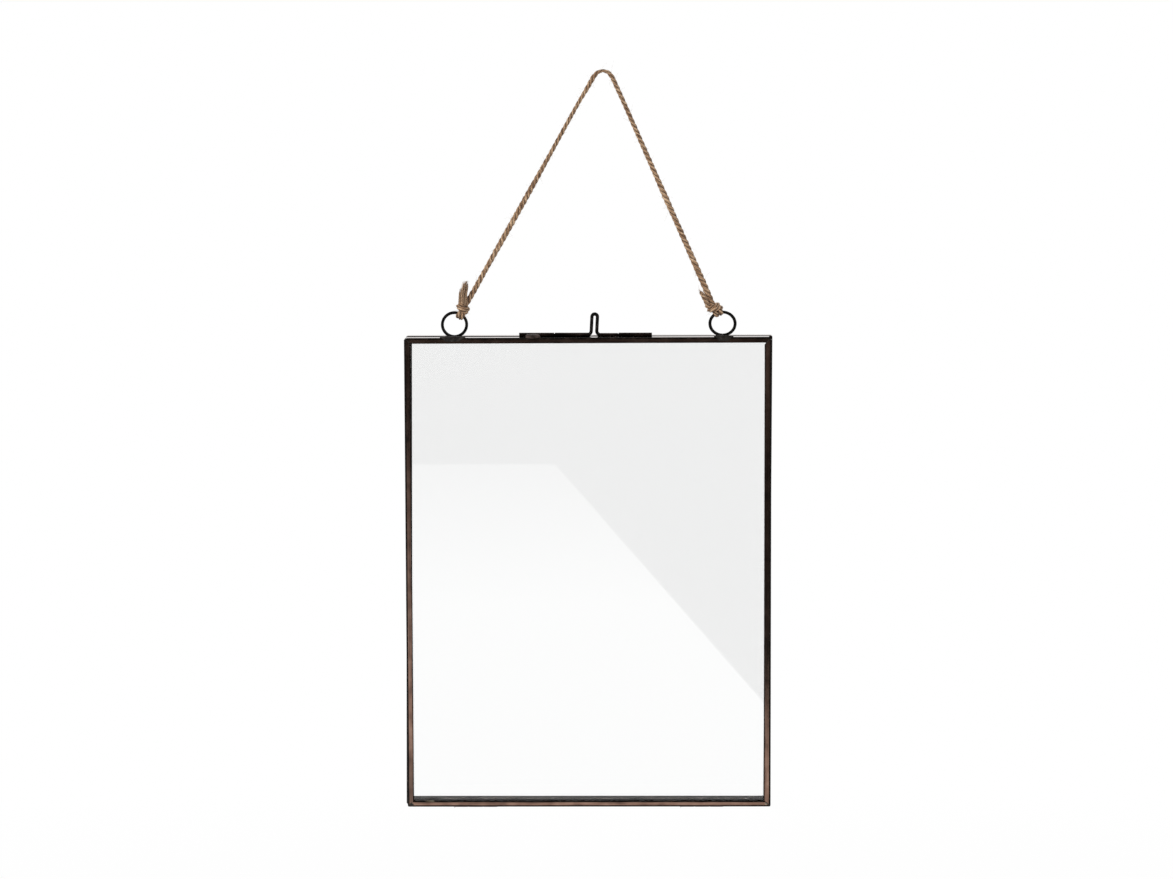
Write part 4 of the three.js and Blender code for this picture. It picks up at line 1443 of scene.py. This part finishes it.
def make_pad(name, low_x, high_x, rise, lip, peak=None):
    """A pad between two places along the rail, in mm; peak is the place and height of a point on top."""
    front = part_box("front_top_rail")[0].y
    behind_lip = front + PAD_LIP_BACK
    low = Vector((low_x * MM, front - PAD_PROUD, rail_top - PAD_SINK))
    high = Vector((high_x * MM, PAD_BACK, rail_top + rise))
    pad = box_piece(name, low, high)
    edit_mode()
    bpy.ops.mesh.bisect(plane_co=(0, behind_lip, 0), plane_no=Y)
    pick("FACE", lambda face: looks(face, -Z) and face.calc_center_median().y < behind_lip)
    draw_out((0, 0, -lip))
    for x in np.linspace(low_x, high_x, PAD_PARTS + 1)[1:-1]:
        bpy.ops.mesh.select_all(action="SELECT")
        bpy.ops.mesh.bisect(plane_co=(x * MM, 0, 0), plane_no=X)

    def near_peak(face):
        place = face.calc_center_median()
        return abs(place.x - peak[0] * MM) < PEAK_HALF_WIDTH and place.y > behind_lip

    if peak:
        pick("FACE", lambda face: looks(face, Z) and near_peak(face))
        draw_out((*PEAK_LEAN, peak[1] * MM))
        bpy.ops.transform.resize(value=PEAK_TAPER)
    for end in (-1, 1):
        pick("FACE", lambda face: looks(face, X * end))
        bpy.ops.transform.resize(value=END_TAPER)
    faces_outwards()
    soften = pad.modifiers.new("soften", "SUBSURF")
    soften.levels = soften.render_levels = PAD_SOFTNESS
    apply_modifiers(pad)
    for size, height in PAD_WAVES:
        uneven(pad, size, height)
    bpy.ops.object.shade_smooth()
    return pad


left_pad = make_pad("solder_left_ring", -69.0, -57.4, 0.6 * MM, PAD_LIP)
dress(left_pad, "front_leaf", "solder", dark_solder, "left_ring_pad")
right_pad = make_pad("solder_right_ring", 46.4, 54.6, 1.05 * MM, PAD_LIP * 0.9, peak=(52.7, 1.1))
dress(right_pad, "front_leaf", "solder", dark_solder, "right_ring_pad")
print("pads:", [round(length / MM, 1) for length in left_pad.dimensions])

# %% Lumps of solder
LUMP_WAVE = 1.1 * MM
LUMP_ROUGHNESS = 0.16  # height of the unevenness, as a share of the least size


def lump(name, place, size, turn=0.0, square=0.0):
    """A pressed ball; place and size in mm, turned about the front-to-back axis, squared off by a share."""
    clear_selection()
    bpy.ops.mesh.primitive_ico_sphere_add(subdivisions=4, radius=0.5 * MM)
    piece = bpy.context.object
    if square:
        press = piece.modifiers.new("square", "CAST")
        press.cast_type = "CUBOID"
        press.factor = square
        apply_modifiers(piece)
    piece.scale, piece.rotation_euler, piece.location = size, (0, turn, 0), Vector(place) * MM
    settle(name)
    uneven(piece, LUMP_WAVE, LUMP_ROUGHNESS * min(size) * MM)
    bpy.ops.object.shade_smooth()
    return piece


def join(pieces, name):
    clear_selection()
    for piece in pieces:
        piece.select_set(True)
    bpy.context.view_layer.objects.active = pieces[0]
    bpy.ops.object.join()
    return settle(name)


tube_blob = lump("solder_latch_tube", (-29.6, -2.75, -110.25), (6.2, 5.6, 2.2), square=0.45)
dress(tube_blob, "front_leaf", "solder", brown_solder)
gap_bead = lump("solder_latch_gap", (-3.4, 1.1, -110.4), (4.6, 0.9, 0.5))
dress(gap_bead, "back_leaf", "solder", black_wire)

# Pale lumps on the bottom lip and in the bottom right corner: partly solder, partly painted highlight for the
# glints there
lip_glint = lump("solder_lip_glint", (-73.7, -5.1, -307.9), (4.2, 0.8, 0.75))
corner_glint = lump("corner_spot", (68.6, -5.5, -309.0), (0.9, 0.3, 0.9))
glints = join([lip_glint, corner_glint], "solder_painted_glints")
dress(glints, "front_leaf", "solder", bright_solder)
print("lumps:", tube_blob.name, gap_bead.name, glints.name)

# %% Seams at the corners
SEAM_SIZE = (2.7, 0.22, 0.42)  # all in mm
SEAM_INSET = 1.25
FRONT_DROP_PLACE = (2.0, 0.05, 1.0)  # in from the left, the front and the foot of the leaf
FRONT_DROP_SIZE = (1.7, 0.5, 1.3)
BACK_DROP_INSET = 2.75
BACK_DROP_DEPTH = 0.55
BACK_DROP_SIZE = (1.1, 1.0, 1.1)

for leaf, face_y in (("front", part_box("front_top_rail")[0].y), ("back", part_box("back_top_rail")[1].y)):
    low_x, high_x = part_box(f"{leaf}_left_rail")[0].x / MM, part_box(f"{leaf}_right_rail")[1].x / MM
    low_z, high_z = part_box(f"{leaf}_bottom_rail")[0].z / MM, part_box(f"{leaf}_top_rail")[1].z / MM
    face_y = face_y / MM
    left, right, foot, head = low_x + SEAM_INSET, high_x - SEAM_INSET, low_z + SEAM_INSET, high_z - SEAM_INSET
    seams = []
    for x, z, turn in ((left, head, 1), (right, head, -1), (left, foot, -1), (right, foot, 1)):
        seams.append(lump("seam", (x, face_y, z), SEAM_SIZE, turn * math.pi / 4))
    if leaf == "front":
        place = Vector((low_x, face_y, low_z)) + Vector(FRONT_DROP_PLACE)
        seams.append(lump("corner", place, FRONT_DROP_SIZE))
    else:
        for x in (low_x + BACK_DROP_INSET, high_x - BACK_DROP_INSET):
            place = (x, face_y - BACK_DROP_DEPTH, low_z + BACK_DROP_INSET)
            seams.append(lump("corner", place, BACK_DROP_SIZE))
    seams = join(seams, f"solder_mitres_{leaf}")
    if leaf == "back":
        rack(seams, BACK_LEAN)
    dress(seams, f"{leaf}_leaf", "solder", dark_solder)
    print(seams.name, "has", len(seams.data.polygons), "faces")

# %% Fillets at the hinges
FILLET_SIZE = (5.0, 1.0, 1.0)  # all in mm
FILLET_ASIDE = 0.95  # from the seam, on the leaf's own side
FILLET_RISE = 0.45  # above the middle of the knuckle

for leaf, way in (("front", -1), ("back", 1)):
    fillets = []
    for node in frame["nodes"]:
        if f"hinge_{leaf}_knuckle" in node:
            knuckle = box_middle(node) / MM
            place = (knuckle.x, way * FILLET_ASIDE, knuckle.z + FILLET_RISE)
            fillets.append(lump("fillet", place, FILLET_SIZE))
    fillets = join(fillets, f"solder_hinges_{leaf}")
    dress(fillets, f"{leaf}_leaf", "solder", dark_solder)
    print(fillets.name, "has", len(fillets.data.polygons), "faces")
